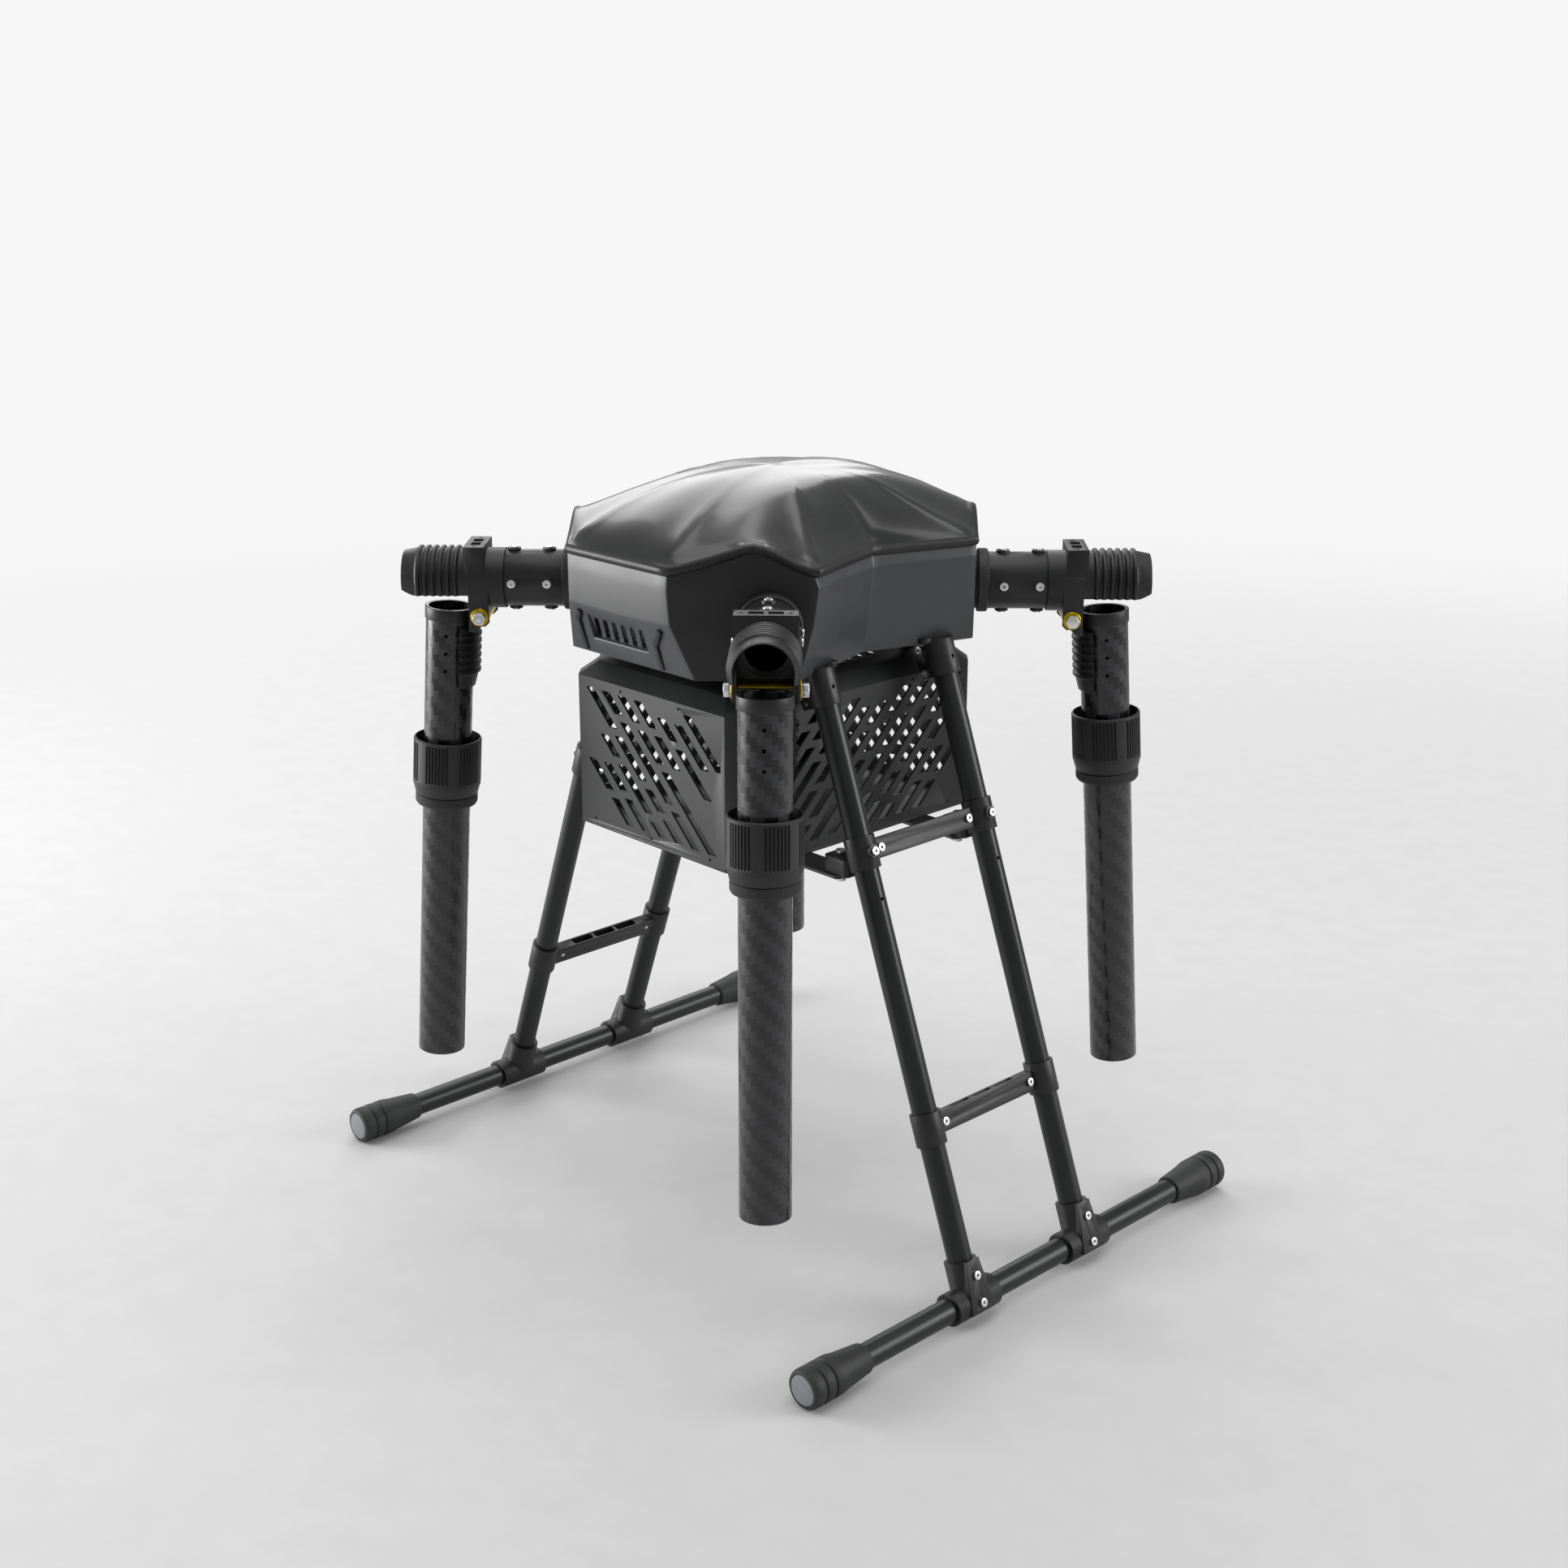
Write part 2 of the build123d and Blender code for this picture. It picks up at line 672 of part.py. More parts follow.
# ======================================================================================
# Payload bay
# ======================================================================================

def bay_outline(inset=0.0):
    """Plan outline of the bay: a rectangle with its corners cut at 45 degrees."""
    x = bay_half_x - inset
    y = bay_half_y - inset
    right = [(x - bay_chamfer, -y), (x, -y + bay_chamfer), (x, y - bay_chamfer), (x - bay_chamfer, y)]
    return right + [(-px, py) for px, py in reversed(right)]


def slot_outline(centre_x, low, high):
    """Slanted slot between two heights on a line through centre_x; its ends are level."""
    shift = math.tan(math.radians(slot_angle))
    half = slot_width / math.cos(math.radians(slot_angle)) / 2
    ends = [(centre_x - low * shift, low), (centre_x - high * shift, high)]
    return [
        (ends[0][0] - half, low),
        (ends[0][0] + half, low),
        (ends[1][0] + half, high),
        (ends[1][0] - half, high),
    ]


def slot_runs(line, height):
    """Low and high ends of the slots along one slot line, measured from mid height."""
    runs = []
    place = -height / 2 - slot_stagger * (line % 5)
    step = line
    while place < height / 2:
        length = slot_cycle[step % len(slot_cycle)]
        low = max(place, -height / 2)
        high = min(place + length, height / 2)
        if high - low > 9:
            runs.append((low, high))
        place += length + slot_gap
        step += 1
    return runs


def slotted_panel(plane, half_width, half_height, lean_side, holes, depth=bay_wall):
    """Flat panel on a plane with rows of slanted slots; lean_side of -1 mirrors the slots."""
    usable = half_width - panel_border
    height = 2 * (half_height - panel_margin)
    reach = int((half_width + half_height) / slot_pitch) + 1
    with BuildPart() as panel:
        with BuildSketch(plane):
            Rectangle(2 * half_width, 2 * half_height)
        extrude(amount=-depth)
        with BuildSketch(plane.offset(1)) as slots:
            for line in range(-reach, reach + 1):
                for low, high in slot_runs(line + reach, height):
                    corners = slot_outline(line * slot_pitch, low, high)
                    if max(abs(x) for x, y in corners) < usable + slot_width:
                        Polygon(*[(x * lean_side, y) for x, y in corners], align=None)
            fillet(slots.vertices(), slot_corner)
            Rectangle(2 * usable, height, mode=Mode.INTERSECT)
            with Locations(*[(x, y * (half_height - hole_inset)) for x, y in holes]):
                Circle(panel_hole)
        extrude(amount=-(depth + 2), mode=Mode.SUBTRACT)
    return panel.part


panel_mid_z = (bay_floor_z + bay_top_z) / 2
panel_half_height = (bay_top_z - bay_floor_z) / 2
front_plane = Plane(origin=(0, -bay_half_y, panel_mid_z), x_dir=(1, 0, 0), z_dir=(0, -1, 0))
side_plane = Plane(origin=(bay_half_x, 0, panel_mid_z), x_dir=(0, 1, 0), z_dir=(1, 0, 0))
front_holes = [(-35.5, 1), (35.5, 1), (-71, -1), (0, -1), (71, -1)]
side_holes = [(-60, 1), (60, 1), (-105, -1), (0, -1), (105, -1)]
bay_front = slotted_panel(front_plane, bay_half_x - bay_chamfer, panel_half_height, 1, front_holes)
bay_side = slotted_panel(side_plane, bay_half_y - bay_chamfer, panel_half_height, -1, side_holes)
save(bay_front, "bay_front_panel")
save(bay_front.mirror(Plane.XZ), "bay_rear_panel")
save(bay_side, "bay_right_panel")
save(bay_side.mirror(Plane.YZ), "bay_left_panel")

# Corner strips between the panels
with BuildPart() as bay_corners:
    with BuildSketch(Plane.XY.offset(bay_floor_z)):
        for side in (-1, 1):
            for end in (-1, 1):
                corner = [
                    (bay_half_x - bay_chamfer, bay_half_y),
                    (bay_half_x, bay_half_y - bay_chamfer),
                    (bay_half_x - bay_wall, bay_half_y - bay_chamfer),
                    (bay_half_x - bay_chamfer, bay_half_y - bay_wall),
                ]
                Polygon(*[(x * side, y * end) for x, y in corner], align=None)
    extrude(amount=bay_top_z - bay_floor_z)
save(bay_corners.part, "bay_corners")

with BuildPart() as bay_floor:
    with BuildSketch(Plane.XY.offset(bay_floor_z - bay_wall)):
        Polygon(*bay_outline(), align=None)
        with GridLocations(payload_x, payload_y, 2, 2):
            Circle(payload_hole, mode=Mode.SUBTRACT)
    extrude(amount=bay_wall)
save(bay_floor.part, "bay_floor")

# Lid with sloping edges and rows of cooling slots
with BuildPart() as bay_lid:
    with BuildSketch(Plane.XY.offset(bay_top_z)):
        Polygon(*bay_outline(), align=None)
    with BuildSketch(Plane.XY.offset(bay_lid_z)):
        Polygon(*bay_outline(bay_lid_inset), align=None)
    loft(ruled=True)
    offset(amount=-bay_wall, openings=bay_lid.faces().sort_by(Axis.Z)[0])
    with BuildSketch(Plane.XY.offset(bay_lid_z - 4)):
        with GridLocations(2 * lid_slot_x, lid_slot_pitch, 2, lid_slot_rows):
            SlotOverall(lid_slot_length, slot_width)
    extrude(amount=8, mode=Mode.SUBTRACT)
save(bay_lid.part, "bay_lid")

with BuildPart() as bay_hangers:
    with BuildSketch(Plane.XY.offset(bay_lid_z)):
        with GridLocations(2 * hanger_x, 2 * hanger_y, 2, 2):
            Circle(hanger_radius)
    extrude(amount=belly_z - bay_lid_z)
save(bay_hangers.part, "bay_hangers")

# ======================================================================================
# Landing gear
# ======================================================================================

def along_leg(height):
    """Distance along the leg from the skid axis to a height."""
    return (height - skid_z) * leg_scale


leg_base = leg_plane(skid_z)
leg_end = along_leg(leg_top_z)

with BuildPart() as one_leg:
    with BuildSketch(leg_base.offset(leg_seat)):
        Circle(leg_radius)
        Circle(leg_radius - leg_wall, mode=Mode.SUBTRACT)
    extrude(amount=leg_end - leg_seat)
    with BuildSketch(outward_plane(leg_hole_z)):
        Circle(leg_hole)
    extrude(amount=2 * leg_radius, mode=Mode.SUBTRACT)

with BuildPart() as leg_tubes:
    add_four(one_leg.part)
save(leg_tubes.part, "leg_tubes")

# Socket that takes the top of a leg, with a flange screwed to the belly
clamp_radius = leg_radius + sleeve_wall
flange_inner_x = leg_point(belly_z)[0] - 34
flange_outer_x = leg_point(belly_z)[0] + 5
lug_reach = clamp_radius + 7
socket_face = Plane(
    origin=leg_point(socket_bottom_z), x_dir=(-math.cos(lean), 0, -math.sin(lean)), z_dir=(0, 1, 0)
)
with BuildPart() as one_socket:
    with BuildSketch(leg_base.offset(along_leg(socket_bottom_z))):
        Circle(clamp_radius)
    extrude(amount=leg_end + 40 - along_leg(socket_bottom_z))
    with BuildSketch(Plane.XY.offset(belly_z - 4)):
        with Locations(((flange_inner_x + flange_outer_x) / 2, -leg_half_y)):
            RectangleRounded(flange_outer_x - flange_inner_x, 40, 5)
    extrude(amount=4)
    with BuildSketch(socket_face):
        Polygon(
            (0, 0),
            (lug_reach, 0),
            (lug_reach + 6, leg_end - along_leg(socket_bottom_z)),
            (0, leg_end - along_leg(socket_bottom_z)),
            align=None,
        )
    extrude(amount=lug_half, both=True)
    with BuildSketch(Plane.XY.offset(belly_z)):
        with Locations((leg_point(belly_z)[0], -leg_half_y)):
            Rectangle(120, 120)
    extrude(amount=60, mode=Mode.SUBTRACT)
    with BuildSketch(leg_base.offset(along_leg(socket_bottom_z) - 1)):
        Circle(leg_radius + fit)
    extrude(amount=leg_end + 1 - along_leg(socket_bottom_z), mode=Mode.SUBTRACT)
    with BuildSketch(outward_plane(socket_hole_z)):
        Circle(leg_hole)
    extrude(amount=2 * leg_radius, mode=Mode.SUBTRACT)
    with BuildSketch(socket_face):
        with Locations(*[(lug_reach - 4, up) for up in lug_screws]):
            Circle(screw_radius + fit)
    extrude(amount=2 * lug_half, both=True, mode=Mode.SUBTRACT)

with BuildPart() as leg_sockets:
    add_four(one_socket.part)
save(leg_sockets.part, "leg_sockets")


def brace(height, bar_width, bar_shift, lug):
    """Bar between the two right legs with a clamp round each; lug adds the bolt lugs and screw pads."""
    base = leg_plane(height)
    face = outward_plane(height)
    legs = (0, 2 * leg_half_y)
    with BuildPart() as whole:
        for end in legs:
            with BuildSketch(base.offset(-brace_clamp_length / 2)):
                with Locations((end, 0)):
                    Circle(clamp_radius)
            extrude(amount=brace_clamp_length)
            if lug:
                with BuildSketch(Plane.XY.offset(bracket_top)):
                    with Locations((lug_bolt_x + 4, end - leg_half_y)):
                        RectangleRounded(26, 22, 4)
                extrude(amount=lug_height)
                with BuildSketch(face):
                    with Locations((end, 0)):
                        Circle(seat_radius)
                extrude(amount=pad_out)
        with BuildSketch(face.offset(bar_shift - bar_width / 2)):
            with Locations((leg_half_y, 0)):
                Rectangle(2 * (leg_half_y - leg_radius), bar_height)
        extrude(amount=bar_width)
        if not lug:
            with BuildSketch(base.offset(bar_height / 2)):
                with Locations((leg_half_y, -bar_shift)):
                    with GridLocations(26, 0, 3, 1):
                        RectangleRounded(23, bar_width - 3, 1.5)
            extrude(amount=4 - bar_height, mode=Mode.SUBTRACT)
        with BuildSketch(base.offset(-brace_clamp_length)):
            with Locations(*[(end, 0) for end in legs]):
                Circle(leg_radius + fit)
        extrude(amount=2 * brace_clamp_length, mode=Mode.SUBTRACT)
        with BuildSketch(face.offset(-bar_width - clamp_radius)):
            with Locations((brace_screw_inset, 0), (2 * leg_half_y - brace_screw_inset, 0)):
                Circle(screw_radius + fit)
        extrude(amount=4 * clamp_radius, mode=Mode.SUBTRACT)
        if lug:
            with BuildSketch(face):
                with Locations(*[(end, 0) for end in legs]):
                    Circle(screw_radius + fit)
            extrude(amount=2 * pad_out, mode=Mode.SUBTRACT)
            with BuildSketch(Plane.XY.offset(bracket_top - 1)):
                with Locations((lug_bolt_x, -leg_half_y), (lug_bolt_x, leg_half_y)):
                    Circle(bolt_radius + fit)
            extrude(amount=2 * lug_height, mode=Mode.SUBTRACT)
    return whole.part


lug_bolt_x = leg_point(upper_brace_z)[0] - leg_radius - 13
bracket_top = bay_floor_z - bay_wall
lug_height = 14.0
lower_right = brace(lower_brace_z, lower_bar_width, lower_bar_shift, False)
with BuildPart() as lower_braces:
    add(lower_right)
    add(lower_right.mirror(Plane.YZ))
save(lower_braces.part, "lower_braces")

upper_right = brace(upper_brace_z, upper_bar_width, upper_bar_shift, True)
with BuildPart() as upper_braces:
    add(upper_right)
    add(upper_right.mirror(Plane.YZ))
save(upper_braces.part, "upper_braces")

# Sheet strips from the bay floor out to the brace lugs
bracket_inner_x = 60.0
bracket_screw_x = 76.0
with BuildPart() as one_bracket:
    with BuildSketch(Plane.XY.offset(bracket_top)):
        with Locations(((bracket_inner_x + lug_bolt_x + 9) / 2, -leg_half_y)):
            RectangleRounded(lug_bolt_x + 9 - bracket_inner_x, 26, 4)
        with Locations((lug_bolt_x, -leg_half_y), (bracket_screw_x, -leg_half_y)):
            Circle(bolt_radius + fit, mode=Mode.SUBTRACT)
    extrude(amount=-bracket_wall)

with BuildPart() as gear_brackets:
    add_four(one_bracket.part)
save(gear_brackets.part, "gear_brackets")

# Upright bolts through lug and strip, with their nuts below
nut_top = bracket_top - bracket_wall
with BuildPart() as one_gear_bolt:
    with BuildSketch(Plane.XY.offset(nut_top - 6)):
        with Locations((lug_bolt_x, -leg_half_y)):
            Circle(bolt_radius)
    extrude(amount=bracket_top + lug_height - nut_top + 6)
    with BuildSketch(Plane.XY.offset(bracket_top + lug_height)):
        with Locations((lug_bolt_x, -leg_half_y)):
            RegularPolygon(4, 6, major_radius=False)
    extrude(amount=3.5)

with BuildPart() as gear_bolts:
    add_four(one_gear_bolt.part)
save(gear_bolts.part, "gear_bolts")

with BuildPart() as one_gear_nut:
    with BuildSketch(Plane.XY.offset(nut_top)):
        with Locations((lug_bolt_x, -leg_half_y)):
            RegularPolygon(4.5, 6, major_radius=False)
            Circle(bolt_radius + fit, mode=Mode.SUBTRACT)
    extrude(amount=-5)

with BuildPart() as gear_nuts:
    add_four(one_gear_nut.part)
save(gear_nuts.part, "gear_nuts")

# Tee that joins a leg to its skid, with a flat screwed pad on its outer side
tee_radius = skid_radius + tee_wall
tee_face = outward_plane(skid_z)
with BuildPart() as one_tee:
    with BuildSketch(Plane.XZ.offset(leg_half_y - tee_length / 2)):
        with Locations((skid_half_track, skid_z)):
            Circle(tee_radius)
    extrude(amount=tee_length)
    with BuildSketch(leg_base):
        Circle(clamp_radius + 0.6)
    extrude(amount=tee_height)
    with BuildSketch(tee_face):
        Polygon(
            (-pad_half_low, tee_screw_low - 7),
            (pad_half_low, tee_screw_low - 7),
            (pad_half_high, tee_height),
            (-pad_half_high, tee_height),
            align=None,
        )
    extrude(amount=pad_out)
    with BuildSketch(Plane.XZ.offset(leg_half_y - tee_length)):
        with Locations((skid_half_track, skid_z)):
            Circle(skid_radius + fit)
    extrude(amount=2 * tee_length, mode=Mode.SUBTRACT)
    with BuildSketch(leg_base.offset(leg_seat)):
        Circle(leg_radius + fit)
    extrude(amount=tee_height, mode=Mode.SUBTRACT)
    with BuildSketch(tee_face):
        with Locations((0, tee_screw_low), (0, tee_screw_high)):
            Circle(screw_radius + fit)
    extrude(amount=2 * pad_out, mode=Mode.SUBTRACT)

with BuildPart() as skid_tees:
    add_four(one_tee.part)
save(skid_tees.part, "skid_tees")

# Screws with their heads outwards: tees, clamps and bars of the braces, and the socket lugs
with BuildPart() as gear_screw_set:
    heads = [
        (tee_face.offset(pad_out), (0, tee_screw_low), pad_out - leg_radius - 2 * fit),
        (tee_face.offset(pad_out), (0, tee_screw_high), pad_out - leg_radius - 2 * fit),
        (outward_plane(upper_brace_z).offset(pad_out), (0, 0), pad_out - leg_radius - 2 * fit),
    ]
    for height, width, shift in (
        (lower_brace_z, lower_bar_width, lower_bar_shift),
        (upper_brace_z, upper_bar_width, upper_bar_shift),
    ):
        face = outward_plane(height).offset(shift + width / 2)
        heads.append((face, (brace_screw_inset, 0), width))
    for up in lug_screws:
        heads.append((socket_face.offset(lug_half), (lug_reach - 4, up), 2 * lug_half))
    for face, place, depth in heads:
        with BuildSketch(face):
            with Locations(place):
                Circle(screw_head_radius)
                RegularPolygon(screw_radius, 6, mode=Mode.SUBTRACT)
        extrude(amount=screw_head_height)
        with BuildSketch(face):
            with Locations(place):
                Circle(screw_radius)
        extrude(amount=-depth)

with BuildPart() as gear_screws:
    add_four(gear_screw_set.part)
save(gear_screws.part, "gear_screws")

with BuildPart() as skid_tubes:
    for side in (-1, 1):
        with BuildSketch(Plane.XZ.offset(-skid_half_length)):
            with Locations((side * skid_half_track, skid_z)):
                Circle(skid_radius)
                Circle(skid_radius - skid_wall, mode=Mode.SUBTRACT)
        extrude(amount=2 * skid_half_length)
save(skid_tubes.part, "skid_tubes")

# Rubber boots on the ends of the skids, grooved, with an inset cap
groove = 1.2
with BuildPart() as one_foot:
    with BuildSketch(Plane.XY.offset(skid_z)):
        Polygon(
            (skid_half_track, -foot_start),
            (skid_half_track + foot_collar, -foot_start),
            (skid_half_track + foot_radius, -foot_start - 14),
            (skid_half_track + foot_radius, -foot_start - 26),
            (skid_half_track + foot_radius - groove, -foot_start - 27),
            (skid_half_track + foot_radius - groove, -foot_start - 30),
            (skid_half_track + foot_radius, -foot_start - 31),
            (skid_half_track + foot_radius, -foot_start - 42),
            (skid_half_track + foot_radius - groove, -foot_start - 43),
            (skid_half_track + foot_radius - groove, -foot_start - 46),
            (skid_half_track + foot_radius, -foot_start - 47),
            (skid_half_track + foot_radius, -foot_end + 2),
            (skid_half_track + foot_radius - 2, -foot_end),
            (skid_half_track, -foot_end),
            align=None,
        )
    revolve(axis=Axis((skid_half_track, 0, skid_z), (0, 1, 0)))
    with BuildSketch(Plane.XZ.offset(foot_start - 1)):
        with Locations((skid_half_track, skid_z)):
            Circle(skid_radius + fit)
    extrude(amount=skid_half_length + 1 - foot_start, mode=Mode.SUBTRACT)
    with BuildSketch(Plane.XZ.offset(foot_end - cap_depth)):
        with Locations((skid_half_track, skid_z)):
            Circle(skid_radius + 1 + fit)
    extrude(amount=cap_depth, mode=Mode.SUBTRACT)

with BuildPart() as skid_feet:
    add_four(one_foot.part)
save(skid_feet.part, "skid_feet")

with BuildPart() as one_cap:
    with BuildSketch(Plane.XZ.offset(foot_end - cap_depth)):
        with Locations((skid_half_track, skid_z)):
            Circle(skid_radius + 1)
    extrude(amount=cap_depth)

with BuildPart() as foot_caps:
    add_four(one_cap.part)
save(foot_caps.part, "foot_caps")
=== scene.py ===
"""Folding drone airframe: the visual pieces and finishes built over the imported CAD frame."""
import json
import logging
import math
from dataclasses import dataclass
from enum import Enum
from typing import Any, Callable, Dict, List, Sequence, Tuple

import bmesh
import bpy
from mathutils import Euler, Matrix, Vector

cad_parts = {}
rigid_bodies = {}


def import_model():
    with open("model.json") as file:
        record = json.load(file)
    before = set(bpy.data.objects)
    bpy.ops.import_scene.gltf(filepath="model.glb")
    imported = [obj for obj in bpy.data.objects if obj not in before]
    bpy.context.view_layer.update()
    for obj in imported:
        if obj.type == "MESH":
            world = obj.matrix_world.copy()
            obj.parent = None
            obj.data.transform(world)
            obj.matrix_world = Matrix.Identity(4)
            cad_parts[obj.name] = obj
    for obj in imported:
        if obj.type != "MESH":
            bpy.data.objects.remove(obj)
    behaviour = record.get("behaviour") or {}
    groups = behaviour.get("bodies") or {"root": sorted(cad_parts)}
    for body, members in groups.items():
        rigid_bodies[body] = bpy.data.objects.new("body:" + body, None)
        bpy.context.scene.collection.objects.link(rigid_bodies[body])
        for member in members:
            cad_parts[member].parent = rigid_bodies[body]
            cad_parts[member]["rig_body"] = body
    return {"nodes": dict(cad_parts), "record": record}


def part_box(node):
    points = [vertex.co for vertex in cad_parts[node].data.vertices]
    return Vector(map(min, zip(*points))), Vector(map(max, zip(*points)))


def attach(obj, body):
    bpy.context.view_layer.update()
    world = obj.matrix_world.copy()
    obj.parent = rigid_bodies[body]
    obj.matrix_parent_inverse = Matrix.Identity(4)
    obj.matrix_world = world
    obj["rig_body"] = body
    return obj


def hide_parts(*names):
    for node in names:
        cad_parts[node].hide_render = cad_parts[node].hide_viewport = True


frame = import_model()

LOG = logging.getLogger("airframe")
MM = 0.001
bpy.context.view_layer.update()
Profile = Sequence[Tuple[float, float]]


class Arm(Enum):
    """The four arms, with their heading from +X in degrees."""

    FRONT_RIGHT = -45
    REAR_RIGHT = 45
    REAR_LEFT = 135
    FRONT_LEFT = -135

    @property
    def label(self) -> str:
        """Name used for the arm's nodes and bodies."""
        return self.name.lower()

    def straight(self) -> Matrix:
        """Place of a piece modelled along +X on a body-fixed arm root."""
        return Matrix.Rotation(math.radians(self.value), 4, "Z")

    def folded(self, pin: Vector, fold: float) -> Matrix:
        """Place of a piece modelled straight out along +X once the arm hangs down.

        Args:
            pin: Hinge pin in the arm's own frame, in metres.
            fold: Fold angle in degrees.

        Returns:
            The matrix from the arm's frame to the folded place.
        """
        swing = Matrix.Translation(pin) @ Matrix.Rotation(math.radians(fold), 4, "Y")
        return self.straight() @ swing @ Matrix.Translation(-pin)


# ---- Finishes ------------------------------------------------------------------------


def linear(code: str) -> Tuple[float, float, float, float]:
    """Turns an sRGB hex colour to linear RGBA.

    Args:
        code: Colour as #rrggbb.

    Returns:
        Linear red, green, blue and an alpha of one.
    """
    parts = [int(code[i:i + 2], 16) / 255 for i in (1, 3, 5)]
    red, green, blue = [c / 12.92 if c <= 0.04045 else ((c + 0.055) / 1.055) ** 2.4 for c in parts]
    return red, green, blue, 1.0


def add_node(tree: bpy.types.NodeTree, kind: str, settings: Dict[str, Any],
             inputs: Dict[Any, Any]) -> bpy.types.Node:
    """Adds a node with its settings and links.

    Args:
        tree: Node tree that takes it.
        kind: Blender's type name of the node.
        settings: Attributes of the node.
        inputs: Value, or output socket to link from, for each input by name or number.

    Returns:
        The new node.
    """
    node = tree.nodes.new(kind)
    for key, value in settings.items():
        setattr(node, key, value)
    for key, value in inputs.items():
        if isinstance(value, bpy.types.NodeSocket):
            tree.links.new(value, node.inputs[key])
        else:
            node.inputs[key].default_value = value
    return node


@dataclass(frozen=True)
class Finish:
    """A moulded or coated surface: mottled colour, uneven gloss and a fine raised grain.

    Attributes:
        name: Common name of the real material.
        slot: Material slot of the record that it finishes.
        dark: Darker colour, sRGB hex.
        light: Lighter colour, sRGB hex.
        rough: Lowest and highest roughness.
        grain_mm: Size of the surface grain.
        relief_mm: Height of the grain.
        metallic: One for bare metal.
        coat: Weight of a clear top coat.
        coat_rough: Roughness of that coat.
        stretch: Grain scale along X, Y and Z, for drawn or brushed surfaces.
    """

    name: str
    slot: str
    dark: str
    light: str
    rough: Tuple[float, float]
    grain_mm: float = 0.8
    relief_mm: float = 0.02
    metallic: float = 0.0
    coat: float = 0.0
    coat_rough: float = 0.2
    stretch: Tuple[float, float, float] = (1.0, 1.0, 1.0)

    def pattern(self, tree: bpy.types.NodeTree) -> Tuple[Any, Any, Any]:
        """Draws the surface.

        Args:
            tree: Node tree of the material.

        Returns:
            Output sockets of the colour, the roughness and the height in metres.
        """
        place = add_node(tree, "ShaderNodeTexCoord", {}, {})
        lay = add_node(tree, "ShaderNodeMapping", {}, {
            "Vector": place.outputs["Object"], "Scale": self.stretch})
        fine = add_node(tree, "ShaderNodeTexNoise", {}, {
            "Vector": lay.outputs[0], "Scale": 1 / (self.grain_mm * MM), "Detail": 3.0, "Roughness": 0.6})
        broad = add_node(tree, "ShaderNodeTexNoise", {}, {
            "Vector": lay.outputs[0], "Scale": 1 / (34 * MM), "Detail": 4.0, "Roughness": 0.62})
        both = add_node(tree, "ShaderNodeMath", {"operation": "MULTIPLY_ADD"}, {
            0: fine.outputs["Fac"], 1: 0.45, 2: broad.outputs["Fac"]})
        spread = add_node(tree, "ShaderNodeMapRange", {}, {
            "Value": both.outputs[0], "From Min": 0.45, "From Max": 1.0})
        colour = add_node(tree, "ShaderNodeMix", {"data_type": "RGBA"}, {
            "Factor": spread.outputs[0], 6: linear(self.dark), 7: linear(self.light)})
        gloss = add_node(tree, "ShaderNodeMapRange", {}, {
            "Value": both.outputs[0], "From Min": 0.45, "From Max": 1.0,
            "To Min": self.rough[0], "To Max": self.rough[1]})
        return colour.outputs[2], gloss.outputs[0], fine.outputs["Fac"]

    def build(self) -> bpy.types.Material:
        """Makes the material, with constants set on the shader itself."""
        material = bpy.data.materials.new(self.name)
        material.use_nodes = True
        tree = material.node_tree
        shader = tree.nodes["Principled BSDF"]
        colour, gloss, height = self.pattern(tree)
        bump = add_node(tree, "ShaderNodeBump", {}, {
            "Height": height, "Distance": self.relief_mm * MM, "Strength": 1.0})
        tree.links.new(colour, shader.inputs["Base Color"])
        tree.links.new(gloss, shader.inputs["Roughness"])
        tree.links.new(bump.outputs[0], shader.inputs["Normal"])
        shader.inputs["Metallic"].default_value = self.metallic
        shader.inputs["Coat Weight"].default_value = self.coat
        shader.inputs["Coat Roughness"].default_value = self.coat_rough
        return material


